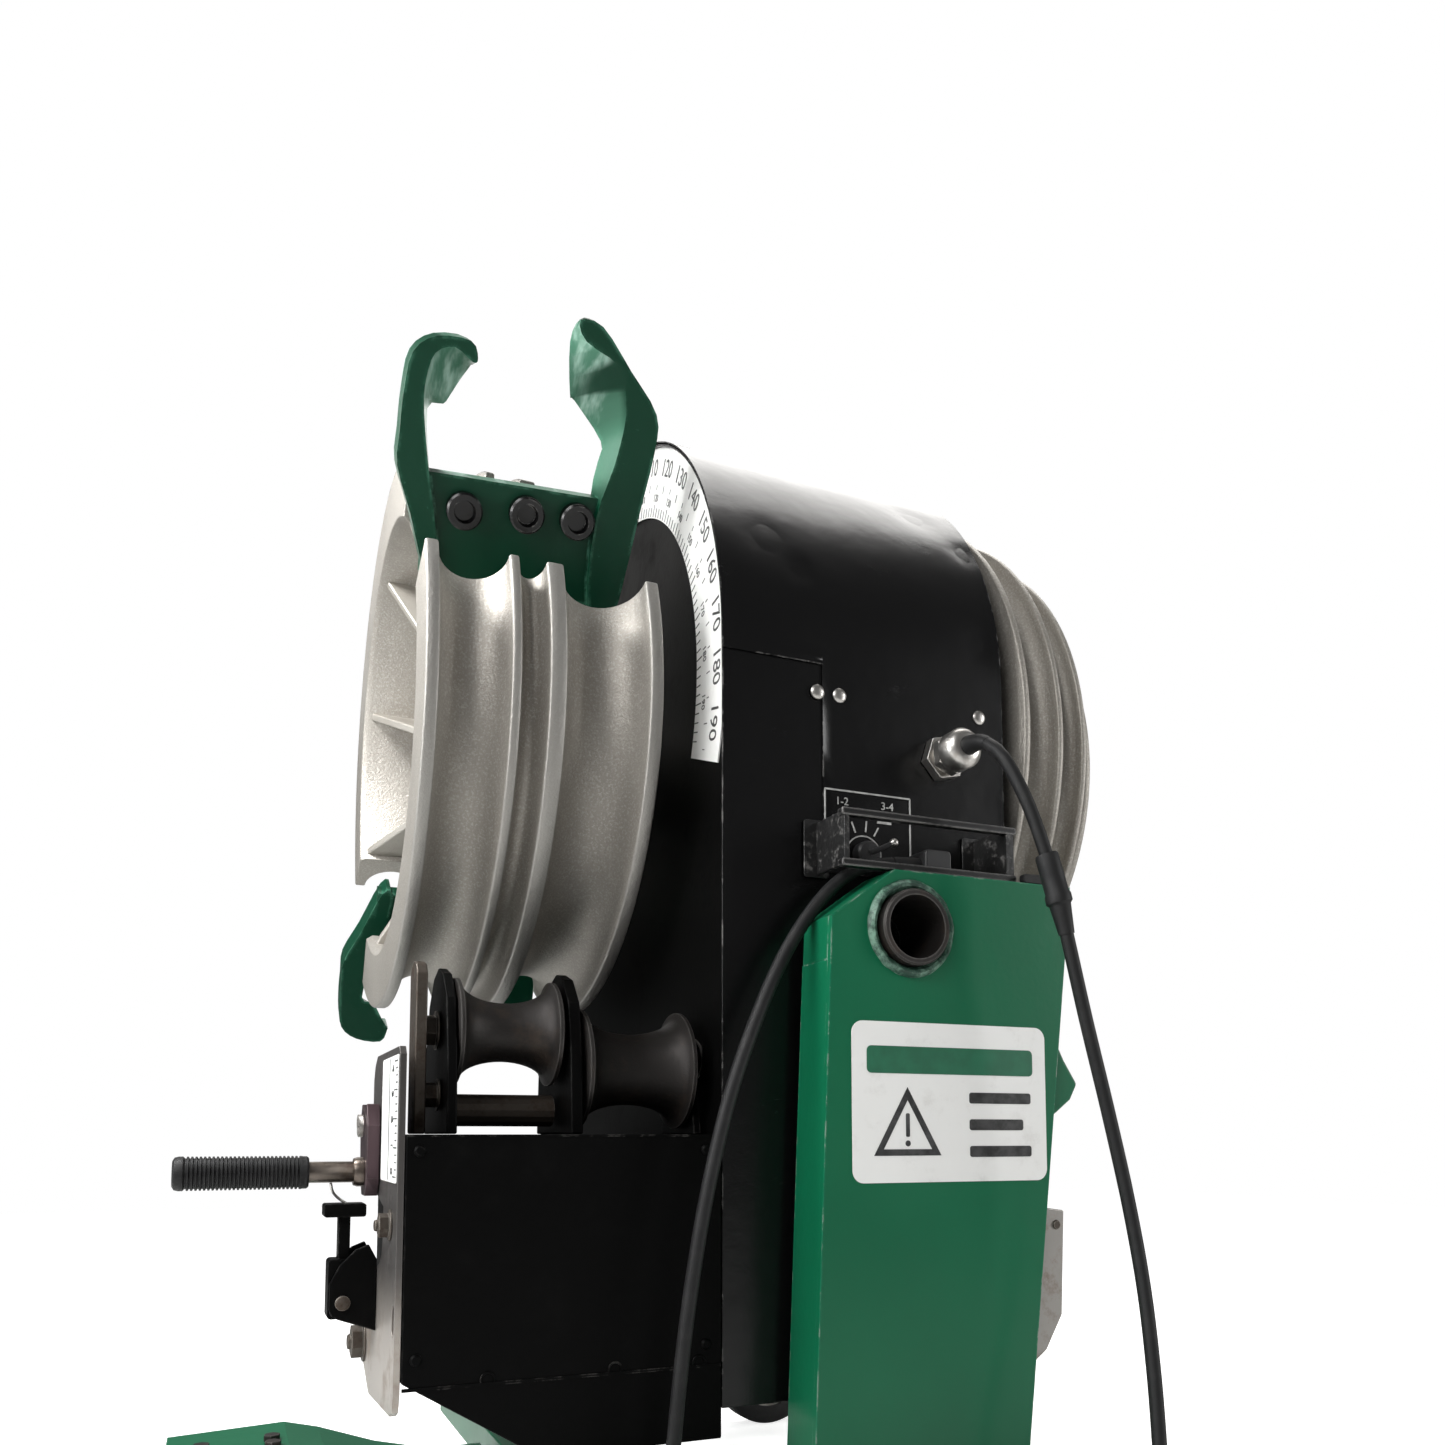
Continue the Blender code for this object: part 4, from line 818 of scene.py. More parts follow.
def rib(bm, outline, angle, half):
    c, s = math.cos(math.radians(angle)), math.sin(math.radians(angle))
    near, far = ([bm.verts.new((x, r * c - t * s, SHAFT_Z + r * s + t * c)) for x, r in outline]
                 for t in (-half, half))
    bm.faces.new(near)
    bm.faces.new(far)
    for i in range(len(outline)):
        j = (i + 1) % len(outline)
        bm.faces.new((near[i], near[j], far[j], far[i]))


def make_shoes():
    centre = (0.0, SHAFT_Z)
    rims, insides = bmesh.new(), bmesh.new()
    for turn in (0, 180):
        swept_sector(rims, shoe_profile(-0.2562, -0.0585, LEFT_GROOVES, 20), SECTOR[0] + turn,
                     SECTOR[1] + turn, 60)
        outer = arc(centre, 0.210, SECTOR[0] + turn + 1, SECTOR[1] + turn - 1, 30)
        inner = arc(centre, 0.052, SECTOR[1] + turn - 1, SECTOR[0] + turn + 1, 20)
        prism(insides, outer + inner, "X", -0.150, -0.138)
        for angle in LEFT_RIBS:
            rib(insides, [(-0.250, 0.207), (-0.246, 0.198), (-0.172, 0.060), (-0.145, 0.053),
                          (-0.145, 0.207)], angle + turn, 0.0042)
    hub = [(-0.180, 0.0308), (-0.180, 0.056), (-0.176, 0.060), (-0.066, 0.060), (-0.062, 0.056),
           (-0.062, 0.0308)]
    turned(insides, hub, "X", centre)
    piece("left_shoe_rims", rims, "cast_aluminium", "shoes", ("left_shoe",), 0.001, 2)
    piece("left_shoe_web_and_ribs", insides, "rough_aluminium", "shoes", (), 0.0022, 2)
    rims, insides = bmesh.new(), bmesh.new()
    swept_sector(rims, right_profile(16), 70, 330, 100)
    prism(insides, arc(centre, 0.224, 71, 329, 50) + arc(centre, 0.047, 329, 71, 30), "X", 0.344, 0.356)
    for angle in (90, 150, 210, 270, 320):
        rib(insides, [(0.406, 0.193), (0.400, 0.050), (0.350, 0.050), (0.350, 0.222)], angle, 0.0042)
        rib(insides, [(0.350, 0.222), (0.350, 0.050), (0.300, 0.050), (0.294, 0.245)], angle, 0.0042)
    turned(insides, [(0.286, 0.0308), (0.286, 0.051), (0.290, 0.055), (0.410, 0.055), (0.414, 0.051),
                     (0.414, 0.0308)], "X", centre)
    piece("right_shoe_rim", rims, "cast_aluminium", "shoes", ("right_shoe",), 0.001, 2)
    piece("right_shoe_web_and_ribs", insides, "rough_aluminium", "shoes", (), 0.0022, 2)


HOOK_ANGLE = 128.0
# Each horn runs from an open front outline to a closer back outline, so that its cradle slopes.
LEFT_HORN_FRONT = [
    (-0.2400, 0.172), (-0.2582, 0.2213), (-0.2728, 0.2571), (-0.2735, 0.2842), (-0.2732, 0.3146),
    (-0.2692, 0.3430), (-0.2520, 0.3583), (-0.2248, 0.3612), (-0.2178, 0.3500), (-0.2215, 0.3464),
    (-0.2366, 0.3538), (-0.2516, 0.3463), (-0.2567, 0.3268), (-0.2561, 0.3039), (-0.2468, 0.2579),
    (-0.2370, 0.2184), (-0.2300, 0.172),
]
LEFT_HORN_BACK = LEFT_HORN_FRONT[:8] + [
    (-0.2185, 0.3440), (-0.2190, 0.3420), (-0.2260, 0.3300), (-0.2330, 0.3160), (-0.2376, 0.3087),
    (-0.2500, 0.3022), (-0.2429, 0.2540), (-0.2340, 0.2184), (-0.2300, 0.172),
]
RIGHT_HORN_FRONT = [
    (-0.1397, 0.3966), (-0.1203, 0.3964), (-0.0900, 0.3700), (-0.0609, 0.3427), (-0.0562, 0.3133),
    (-0.0590, 0.2600), (-0.0613, 0.2077), (-0.0660, 0.172), (-0.0900, 0.172), (-0.0980, 0.2453),
    (-0.0900, 0.2946), (-0.0874, 0.3310), (-0.0920, 0.3540), (-0.1009, 0.3717), (-0.1322, 0.3827),
]
RIGHT_HORN_BACK = [
    (-0.1343, 0.3965), (-0.1203, 0.3964), (-0.0900, 0.3700), (-0.0609, 0.3427), (-0.0562, 0.3133),
    (-0.0590, 0.2600), (-0.0613, 0.2077), (-0.0660, 0.172), (-0.0900, 0.172), (-0.0994, 0.2625),
    (-0.0984, 0.2923), (-0.0989, 0.3094), (-0.1279, 0.3357), (-0.1328, 0.3400), (-0.1397, 0.3785),
]


def at_hook(x, radius, tangent, turn):
    """A point given by its x, its distance from the shaft and its offset along the rim."""
    a = math.radians(HOOK_ANGLE + turn)
    c, s = math.cos(a), math.sin(a)
    return Vector((x, radius * c - tangent * s, SHAFT_Z + radius * s + tangent * c))


def hook_loft(bm, front, back, low, high, turn):
    sides = [[bm.verts.new(at_hook(x, r, t, turn)) for x, r in outline]
             for outline, t in ((back, low), (front, high))]
    for line in sides:
        bm.faces.new(line)
    for i in range(len(front)):
        j = (i + 1) % len(front)
        bm.faces.new((sides[0][i], sides[0][j], sides[1][j], sides[1][i]))


def make_hooks():
    plate = [(-0.2440, 0.172), (-0.2480, 0.2570), (-0.0980, 0.2650), (-0.0720, 0.172)]
    for name, turn in (("top_hook", 0), ("bottom_hook", 180)):
        bm = bmesh.new()
        for front, back in ((LEFT_HORN_FRONT, LEFT_HORN_BACK), (RIGHT_HORN_FRONT, RIGHT_HORN_BACK)):
            hook_loft(bm, closed_smooth(front, 3), closed_smooth(back, 3), 0.0145, 0.0418, turn)
        hook_loft(bm, plate, plate, 0.016, 0.034, turn)
        piece(name + "_forging", bm, "hook_green", "shoes", (name,), 0.0022, 2)
        screws = bmesh.new()
        out = (at_hook(0, 0.2, 1.0, turn) - at_hook(0, 0.2, 0.0, turn)).normalized()
        for x, r in ((-0.2134, 0.2324), (-0.1594, 0.2400), (-0.1138, 0.2430)):
            spot = at_hook(x, r, 0.034, turn)
            head = bmesh.new()
            turned(head, [(-0.002, 0.0155), (0.0, 0.0155), (0.009, 0.0155), (0.0105, 0.0140),
                          (0.0105, 0.0095), (0.0035, 0.0082),
                          (0.0035, 0.0)][::-1] + [(-0.002, 0.0)], "Z", (0, 0), 36)
            place = out.to_track_quat("Z", "X").to_matrix().to_4x4()
            place.translation = spot
            head.transform(place)
            mesh = bpy.data.meshes.new("head")
            head.to_mesh(mesh)
            head.free()
            screws.from_mesh(mesh)
            bpy.data.meshes.remove(mesh)
        piece(name + "_socket_screws", screws, "black_paint", "shoes")


# Housing of the head -------------------------------------------------------------------
def sheet_grid(rows, thickness):
    """A closed sheet from a grid of (point, outward direction) rows."""
    bm = bmesh.new()
    layers = []
    for depth in (0.0, thickness):
        layers.append([[bm.verts.new(point - out * depth) for point, out in row] for row in rows])
    n, m = len(rows), len(rows[0])
    for layer in layers:
        for i in range(n - 1):
            for j in range(m - 1):
                bm.faces.new((layer[i][j], layer[i + 1][j], layer[i + 1][j + 1], layer[i][j + 1]))
    top, under = layers
    for i in range(n - 1):
        for j in (0, m - 1):
            bm.faces.new((top[i][j], top[i + 1][j], under[i + 1][j], under[i][j]))
    for j in range(m - 1):
        for i in (0, n - 1):
            bm.faces.new((top[i][j], top[i][j + 1], under[i][j + 1], under[i][j]))
    return bm


# Dents in the cover: x, angle round the cover's centre, radius and depth.
DENTS = [(0.055, 128.0, 0.020, 0.0022), (0.030, 158.0, 0.030, 0.0018), (0.058, 164.0, 0.013, 0.0024),
         (0.170, 120.0, 0.040, 0.0026), (0.215, 140.0, 0.028, 0.0022), (0.120, 100.0, 0.060, 0.0020),
         (0.252, 150.0, 0.018, 0.0030), (0.240, 172.0, 0.020, 0.0020), (0.190, 70.0, 0.040, 0.0024),
         (0.060, 40.0, 0.050, 0.0020)]


def dented(x, angle, radius):
    """Depth of the cover's dents and waviness at a place, inwards."""
    depth = 0.0007 * (1.0 + noise.noise(Vector((x * 14.0, angle * 0.05, 3.0))))
    for dx, dangle, size, deep in DENTS:
        run = math.hypot(x - dx, math.radians(angle - dangle) * radius) / size
        depth += deep * math.exp(-run * run * 1.6)
    edge = min(1.0, min(x + 0.02, 0.262 - x) / 0.006)
    return depth * (0.35 + 0.65 * max(0.0, edge))


def make_cover():
    """The housing's wall sheet, and the round cover sheet that laps over it."""
    rows = []
    for i in range(41):
        x = -0.0195 + 0.281 * i / 40
        row = []
        for k in range(15):
            z = 0.2005 + (COVER_Z - 0.2005) * k / 15
            wave = 0.0006 * noise.noise(Vector((x * 9.0, 1.0, z * 9.0)))
            row.append((Vector((x, WALL_Y - 0.0022 + wave, z)), Vector((0, 1, 0))))
        for k in range(49):
            a = math.radians(180 * k / 48)
            out = Vector((0, math.cos(a), math.sin(a)))
            row.append((Vector((x, 0, COVER_Z)) + out * (WALL_Y - 0.0022), out))
        for k in range(15):
            z = COVER_Z - (COVER_Z - 0.2005) * (k + 1) / 15
            wave = 0.0007 * noise.noise(Vector((x * 9.0, 5.0, z * 9.0)))
            row.append((Vector((x, -WALL_Y + 0.0016 - wave, z)), Vector((0, -1, 0))))
        rows.append(row)
    piece("housing_wall_sheet", sheet_grid(rows, 0.0022), "black_paint", "head",
          ("housing_cover",), 0.0006, 1)
    rows, step = [], 0.0742
    places = [-0.02 + (step + 0.02) * i / 12 for i in range(13)]
    places += [step + 0.0002 + (0.2618 - step) * i / 20 for i in range(21)]
    for x in places:
        skirt = 0.823 if x < step + 0.0001 else 0.640
        row = []
        for k in range(4):
            z = 0.790 + (COVER_Z - 0.790) * k / 4
            row.append((Vector((x, WALL_Y - 0.0002, z)), Vector((0, 1, 0))))
        for k in range(81):
            angle = 180 * k / 80
            a = math.radians(angle)
            out = Vector((0, math.cos(a), math.sin(a)))
            row.append((Vector((x, 0, COVER_Z)) + out * (WALL_Y - dented(x, angle, WALL_Y)), out))
        for k in range(12):
            z = COVER_Z - (COVER_Z - skirt) * (k + 1) / 12
            row.append((Vector((x, -WALL_Y + dented(x, 180.0 + (COVER_Z - z) * 180, WALL_Y) * 0.5, z)),
                        Vector((0, -1, 0))))
        rows.append(row)
    piece("round_cover_sheet", sheet_grid(rows, 0.0011), "black_paint", "head")
    rivets = bmesh.new()
    dome = [(0.0, 0.0066), (0.0012, 0.0064), (0.0024, 0.0050), (0.0030, 0.0030), (0.0032, 0.0)]
    for x, z in ((0.0690, 0.7975), (0.0905, 0.7973), (0.2360, 0.7986), (0.236, 0.40), (0.069, 0.40)):
        for side in (-1, 1):
            line = [(side * (WALL_Y - 0.0006 + along), radius) for along, radius in dome]
            turned(rivets, [(line[0][0], 0.0)] + line, "Y", (x, z), 20)
    piece("cover_rivets", rivets, "nickel", "head")


def make_scale():
    """Degree scale on the left end: white arc, ticks and generic numbers."""
    centre = (0.0, COVER_Z)
    face = -0.0155
    bm = solid_bm(arc(centre, 0.2905, 100, 200, 60) + arc(centre, 0.226, 200, 100, 60), "X", face,
                  face + 0.0012)
    piece("scale_strip", bm, "scale_white", "head", ("degree_scale",))
    bm = bmesh.new()

    def polar(radius, angle, x):
        a = math.radians(angle)
        return Vector((x, radius * math.cos(a), COVER_Z + radius * math.sin(a)))

    def tick(r0, r1, angle, width):
        half = math.degrees(width / 2 / r0)
        corners = [polar(r0, angle - half, face), polar(r0, angle + half, face),
                   polar(r1, angle + half, face), polar(r1, angle - half, face)]
        prism(bm, [(p.y, p.z) for p in corners], "X", face - 0.0003, face + 0.0002)

    for number in range(100, 200, 10):
        for k in range(5):
            angle = number + 2 * k - 1.6
            if 100.5 < angle < 199.5:
                tick(0.227, 0.2355 if k else 0.2385, angle, 0.0011)
        for k in range(2):
            angle = number + 5 * k + 3
            if 100.5 < angle < 199.5:
                tick(0.252 if k else 0.2495, 0.2565, angle, 0.0009)
    for number in range(110, 200, 10):
        for radius, size, shift in ((0.2715, 0.0225, 3.0), (0.2442, 0.0098, -1.6)):
            a = math.radians(number + shift)
            along, out = Vector((0, -math.sin(a), math.cos(a))), Vector((0, math.cos(a), math.sin(a)))
            words(bm, str(number), size, basis(along, out, polar(radius, number + shift, face - 0.0001)))
    piece("scale_ticks_and_numbers", bm, "ink", "head")


def make_switch():
    """Printed frame round the switch, its knob, and the rods of the guard."""
    bm = bmesh.new()
    front, back = -WALL_Y - 0.0005, -WALL_Y + 0.0004

    def line(x0, z0, x1, z1, width=0.0011):
        run = Vector((x1 - x0, z1 - z0))
        side = Vector((-run.y, run.x)).normalized() * width / 2
        prism(bm, [(x0 + side.x, z0 + side.y), (x1 + side.x, z1 + side.y), (x1 - side.x, z1 - side.y),
                   (x0 - side.x, z0 - side.y)], "Y", front, back)

    left, right, top, low = 0.0755, 0.1605, 0.7133, 0.6565
    line(left, top, right, top, 0.0014)
    line(left, top, left, low)
    line(right, top, right, low)
    line(left, low, 0.0965, low)
    line(0.1303, low, right, low)
    knob = (0.1130, 0.6580)
    ring = arc(knob, 0.0172, 0, 180, 20)
    for (x0, z0), (x1, z1) in zip(ring, ring[1:]):
        line(x0, z0, x1, z1)
    for angle, reach in ((60, 0.030), (84, 0.031), (112, 0.031), (140, 0.030)):
        c, s = math.cos(math.radians(angle)), math.sin(math.radians(angle))
        line(knob[0] + 0.021 * c, knob[1] + 0.021 * s, knob[0] + reach * c, knob[1] + reach * s)
    for x0, x1, z in ((0.083, 0.091, 0.690), (0.127, 0.141, 0.689)):
        line(x0, z, x1, z, 0.0022)
    for text, x in (("1-2", 0.092), ("3-4", 0.137)):
        words(bm, text, 0.0098, basis((1, 0, 0), (0, 0, 1), (x, front - 0.00005, 0.7035)))
    piece("switch_print", bm, "white_ink", "head")
    bm = bmesh.new()
    turned(bm, [(-0.2956, 0.0), (-0.2956, 0.0115), (-0.3050, 0.0112), (-0.3070, 0.0095), (-0.3075, 0.0)],
           "Y", knob, 32)
    tube_mesh(bm, [(knob[0], -0.3060, knob[1]), (0.1230, -0.3085, 0.6625), (0.1320, -0.3090, 0.6670)],
              [0.0030, 0.0024, 0.0022], 10)
    piece("switch_knob", bm, "plastic", "selector", ("selector_switch",))
    bm = bmesh.new()
    bmesh.ops.create_uvsphere(bm, u_segments=18, v_segments=10, radius=0.0040,
                              matrix=Matrix.Translation((0.1350, -0.3092, 0.6682)))
    piece("switch_lever_ball", bm, "nickel", "selector")
    bm = bmesh.new()
    for z in (0.680, 0.638):
        prism(bm, rounded(0.064, z - 0.0032, 0.236, z + 0.0032, 0.002, 3), "Y", -0.3462, -0.3372)
    piece("guard_worn_rods", bm, "rod_black", "head", (), 0.001, 2)
    bm = bmesh.new()
    for x0, width in ((0.066, 0.005), (0.226, 0.008)):
        prism(bm, rounded(x0, 0.6363, x0 + width, 0.6817, 0.0015, 2), "Y", -0.3455, -0.2956)
        prism(bm, rounded(x0 - 0.012, 0.634, x0 + 0.012, 0.684, 0.003, 3), "Y", -0.2975, -0.2956)
    piece("guard_side_plates", bm, "scuffed_black", "head", ("switch_guard",), 0.0006, 1)


def make_glands():
    """Hexagonal nickel gland of the mains lead, and the block the pendant lead leaves from."""
    x, z = 0.193, 0.753
    bm = bmesh.new()
    prism(bm, hexagon((x, z), 0.0365, 12), "Y", -0.3060, -0.2955)
    prism(bm, hexagon((x, z), 0.0330, 35), "Y", -0.3190, -0.3095)
    turned(bm, [(-0.3125, 0.0), (-0.3125, 0.0145), (-0.3050, 0.0145), (-0.3050, 0.0)], "Y", (x, z), 32)
    turned(bm, [(-0.3180, 0.0), (-0.3180, 0.0180), (-0.3320, 0.0180), (-0.3365, 0.0150),
                (-0.3388, 0.0110), (-0.3388, 0.0)], "Y", (x, z), 40)
    piece("mains_gland", bm, "nickel", "head", ("power_gland",), 0.0008, 2)
    bm = bmesh.new()
    boot = smooth(POWER_ROUTE[:4], 0.004)[:7]
    tube_mesh(bm, [boot[0] + Vector((0, 0.002, 0))] + boot,
              [0.0085] + [0.0083 - 0.0004 * k for k in range(7)], 20)
    piece("mains_strain_relief", bm, "rubber", "head")
    bm = solid_bm(rounded(0.150, 0.631, 0.176, 0.659, 0.004, 4), "Y", -0.3358, -0.2956)
    piece("pendant_outlet", bm, "plastic", "head", ("pendant_gland",), 0.0018, 3)
    bm = bmesh.new()
    boot = smooth(PENDANT_ROUTE[:3], 0.004)[:7]
    tube_mesh(bm, [boot[0] + Vector((0.002, 0, 0))] + boot,
              [0.0085] + [0.0085 - 0.0022 * k / 6 for k in range(7)], 16)
    piece("pendant_strain_relief", bm, "rubber", "head")


# Rollers, lower box and lever ------------------------------------------------------------
ROLLER_Y = -0.215
BOX_END = -0.2733            # outer face of the lower box's end plate


def spool_profile(x0, x1, waist, flange):
    mid, half = (x0 + x1) / 2, (x1 - x0) / 2 - 0.0055
    line = [(x0, 0.0), (x0, flange - 0.0025), (x0 + 0.0015, flange), (x0 + 0.0045, flange)]
    for i in range(1, 20):
        a = math.pi * i / 20
        line.append((mid - half * math.cos(a), flange - 0.001 - (flange - 0.001 - waist) * math.sin(a)))
    return line + [(x1 - 0.0045, flange), (x1 - 0.0015, flange), (x1, flange - 0.0025), (x1, 0.0)]


def make_rollers():
    for name, x0, x1, z, waist, flange in (("left_roller", -0.224, -0.140, 0.500, 0.024, 0.043),
                                           ("right_roller", -0.122, -0.028, 0.472, 0.030, 0.050)):
        bm = bmesh.new()
        turned(bm, spool_profile(x0, x1, waist, flange), "X", (ROLLER_Y, z), 56)
        piece(name + "_spool", bm, "dark_steel", name, (name,), angle=50.0)
    plate = [(-0.262, 0.4173), (-0.150, 0.4173), (-0.154, 0.480), (-0.168, 0.524), (-0.188, 0.545),
             (-0.208, 0.5512), (-0.228, 0.545), (-0.248, 0.524), (-0.258, 0.480)]
    for name, x0, x1 in (("outer_support", -0.2335, -0.2255), ("inner_support", -0.136, -0.126)):
        bm = solid_bm(plate, "X", x0, x1)
        piece(name + "_plate", bm, "matt_black", "head", (name,), 0.0016, 3, 20.0)
    bm = bmesh.new()
    prism(bm, [(-0.2462, 0.4173), (-0.2140, 0.4173), (-0.2140, 0.5420), (-0.2200, 0.5500),
               (-0.2300, 0.5530), (-0.2400, 0.5500), (-0.2462, 0.5420)], "X", -0.2560, -0.2470)
    piece("support_bar_plate", bm, "brown_steel", "head", ("support_bar",), 0.0015, 2)
    nuts = bmesh.new()
    for x0, x1, y, z, across in ((-0.2470, -0.2345, ROLLER_Y, 0.500, 0.022),
                                 (-0.2460, -0.2345, -0.226, 0.448, 0.018),
                                 (-0.0205, -0.0145, ROLLER_Y, 0.472, 0.020),
                                 (BOX_END - 0.011, BOX_END, -0.112, 0.242, 0.024),
                                 (BOX_END - 0.009, BOX_END, -0.262, 0.350, 0.016)):
        prism(nuts, hexagon((y, z), across, 15), "X", x0, x1)
        turned(nuts, [(x0 - 0.003, 0.0), (x0 - 0.003, across * 0.22), (x0 - 0.002, across * 0.27),
                      (x1, across * 0.27), (x1, 0.0)], "X", (y, z), 16)
        turned(nuts, [(x1 - 0.0018, 0.0), (x1 - 0.0018, across * 0.72), (x1, across * 0.72), (x1, 0.0)],
               "X", (y, z), 24)
    piece("nuts_and_washers", nuts, "brown_steel", "head", (), 0.0008, 2)
    bm = bmesh.new()
    loop = [(-0.0190, -0.226, 0.500), (-0.0150, -0.232, 0.494), (-0.0130, -0.236, 0.482),
            (-0.0140, -0.232, 0.470), (-0.0170, -0.226, 0.464), (-0.0160, -0.220, 0.474),
            (-0.0150, -0.222, 0.486)]
    tube_mesh(bm, smooth([Vector(p) for p in loop], 0.002), 0.0012, 8)
    piece("hairpin_clip", bm, "nickel", "head")


def make_box_end():
    """Steel end plate with its slot, scale card, cam, spring and latch details."""
    outline = [(-0.294, 0.232), (-0.289, 0.219), (-0.278, 0.2145), (-0.151, 0.2055), (-0.144, 0.207),
               (-0.075, 0.238), (-0.056, 0.254), (-0.054, 0.262), (-0.058, 0.276), (-0.200, 0.316),
               (-0.213, 0.324), (-0.218, 0.336), (-0.218, 0.361), (-0.146, 0.374), (-0.139, 0.382),
               (-0.139, 0.462), (-0.146, 0.474), (-0.160, 0.4815), (-0.288, 0.4815), (-0.294, 0.4755)]
    slot = rounded(-0.2905, 0.271, -0.2795, 0.2945, 0.0054, 6)
    holes = [solid_bm(slot, "X", BOX_END - 0.01, BOX_END + 0.02),
             solid_bm(arc((-0.262, 0.350), 0.004, 0, 345, 23), "X", BOX_END - 0.01, BOX_END + 0.02)]
    bm = cut(solid_bm(outline, "X", BOX_END, BOX_END + 0.0048), *holes)
    piece("end_plate", bm, "plate_steel", "head", ("box_end_plate",), 0.0008, 2)
    card = rounded(-0.2915, 0.3815, -0.2035, 0.4755, 0.003, 4)
    piece("roller_card", solid_bm(card, "X", BOX_END - 0.0009, BOX_END), "label_white", "head",
          (), 0.0003, 1)
    bm = bmesh.new()
    front = BOX_END - 0.0012
    for i in range(17):
        z = 0.3860 + 0.085 * i / 16
        length = 0.016 if i % 4 == 0 else 0.008
        prism(bm, rect(-0.2895, z - 0.0005, -0.2895 + length, z + 0.0005), "X", front, front + 0.0006)
    prism(bm, rect(-0.2480, 0.3830, -0.2466, 0.4740), "X", front, front + 0.0006)
    for i in range(5):
        words(bm, str(i), 0.012, basis((0, 0, -1), (0, -1, 0), (front, -0.2660, 0.3900 + 0.0190 * i)))
    piece("roller_card_print", bm, "ink", "head")
    bm = bmesh.new()
    wire = [(-0.3090, -0.1750, 0.3780), (-0.3070, -0.1720, 0.3710), (-0.3020, -0.1700, 0.3655),
            (-0.2960, -0.1700, 0.3615), (-0.2900, -0.1700, 0.3590), (-0.2850, -0.1700, 0.3600)]
    tube_mesh(bm, smooth([Vector(p) for p in wire], 0.002), 0.0011, 8)
    piece("latch_wire_spring", bm, "nickel", "lever")
    bm = bmesh.new()
    coil = [Vector((-0.2790, -0.172 + 0.0085 * math.cos(a), 0.424 + 0.0085 * math.sin(a)))
            + Vector((-0.0060 - 0.0011 * a / (2 * math.pi), 0, 0))
            for a in (k * math.pi / 9 for k in range(64))]
    tube_mesh(bm, coil, 0.0009, 6)
    piece("cam_torsion_spring", bm, "steel", "lever")


def make_lever():
    profile = [(-0.424, 0.0), (-0.424, 0.0098), (-0.4225, 0.0124), (-0.4195, 0.0132), (-0.4165, 0.0132)]
    x = -0.4150
    while x < -0.3320:
        profile += [(x, 0.0117), (x + 0.0008, 0.0117), (x + 0.0011, 0.0131), (x + 0.0024, 0.0131)]
        x += 0.0030
    profile += [(-0.3305, 0.0128), (-0.3275, 0.0128), (-0.3260, 0.0115), (-0.3260, 0.0)]
    bm = bmesh.new()
    turned(bm, profile, "X", (-0.175, 0.387), 40)
    piece("ribbed_grip", bm, "rubber", "lever", ("lever_grip",), angle=30.0)
    bm = bmesh.new()
    turned(bm, [(-0.3300, 0.0), (-0.3300, 0.0084), (-0.2860, 0.0084), (-0.2846, 0.0075), (-0.2846, 0.0)], "X",
           (-0.175, 0.387), 32)
    turned(bm, [(-0.2920, 0.0), (-0.2920, 0.0108), (-0.2890, 0.0118), (-0.2846, 0.0118), (-0.2846, 0.0)], "X",
           (-0.175, 0.387), 32)
    piece("lever_rod_and_collar", bm, "rod_steel", "lever", ("lever_rod",))
    bm = bmesh.new()
    prism(bm, rounded(-0.3140, 0.3515, -0.2820, 0.3620, 0.002, 3), "Y", -0.1850, -0.1600)
    prism(bm, rounded(-0.3025, 0.3150, -0.2935, 0.3530, 0.001, 2), "Y", -0.1800, -0.1650)
    prism(bm, rounded(-0.3100, 0.2720, -0.2895, 0.3185, 0.003, 3), "Y", -0.1850, -0.1600)
    piece("latch_body", bm, "matt_black", "latch", ("lever_latch",), 0.0010, 2)
    bm = bmesh.new()
    lug = [(-0.309, 0.280), (-0.3075, 0.275), (-0.302, 0.272), (-0.2736, 0.262), (-0.2736, 0.318),
           (-0.280, 0.330), (-0.290, 0.326), (-0.302, 0.314), (-0.309, 0.300)]
    for y0, y1 in ((-0.1895, -0.1855), (-0.1595, -0.1555)):
        prism(bm, lug, "Y", y0, y1)
    piece("latch_lugs", bm, "matt_black", "head", (), 0.0008, 2)
    bm = bmesh.new()
    for side, y in ((-1, -0.1895), (1, -0.1555)):
        turned(bm, [(y + side * 0.0032, 0.0), (y + side * 0.0032, 0.0040), (y + side * 0.0020, 0.0058),
                    (y, 0.0058), (y, 0.0)], "Y", (-0.299, 0.285), 20)
    piece("latch_pin_heads", bm, "brown_steel", "head")


def make_lower_box_trim():
    """Folded lip, tabs and screws on the front of the lower box."""
    bm = bmesh.new()
    prism(bm, rect(-0.2675, 0.2342, -0.0215, 0.2366), "Y", -0.2958, -0.2940)
    for x in (-0.2063, -0.1091, -0.0400):
        ring = arc((x, 0.2385), 0.0052, -20, 200, 12)
        tube_mesh(bm, [(p, -0.2955, q) for p, q in ring], 0.0009, 6)
    prism(bm, rect(-0.2675, 0.4152, -0.0215, 0.4169), "Y", -0.2957, -0.2940)
    piece("box_lip_and_tabs", bm, "matt_black", "head")
    bm = bmesh.new()
    for x, z in ((-0.258, 0.405), (-0.034, 0.405), (-0.034, 0.252), (-0.258, 0.256)):
        turned(bm, [(-0.2972, 0.0), (-0.2972, 0.0030), (-0.2958, 0.0044), (-0.2945, 0.0046), (-0.2945, 0.0)],
               "Y", (x, z), 20)
    piece("box_screws", bm, "matt_black", "head")


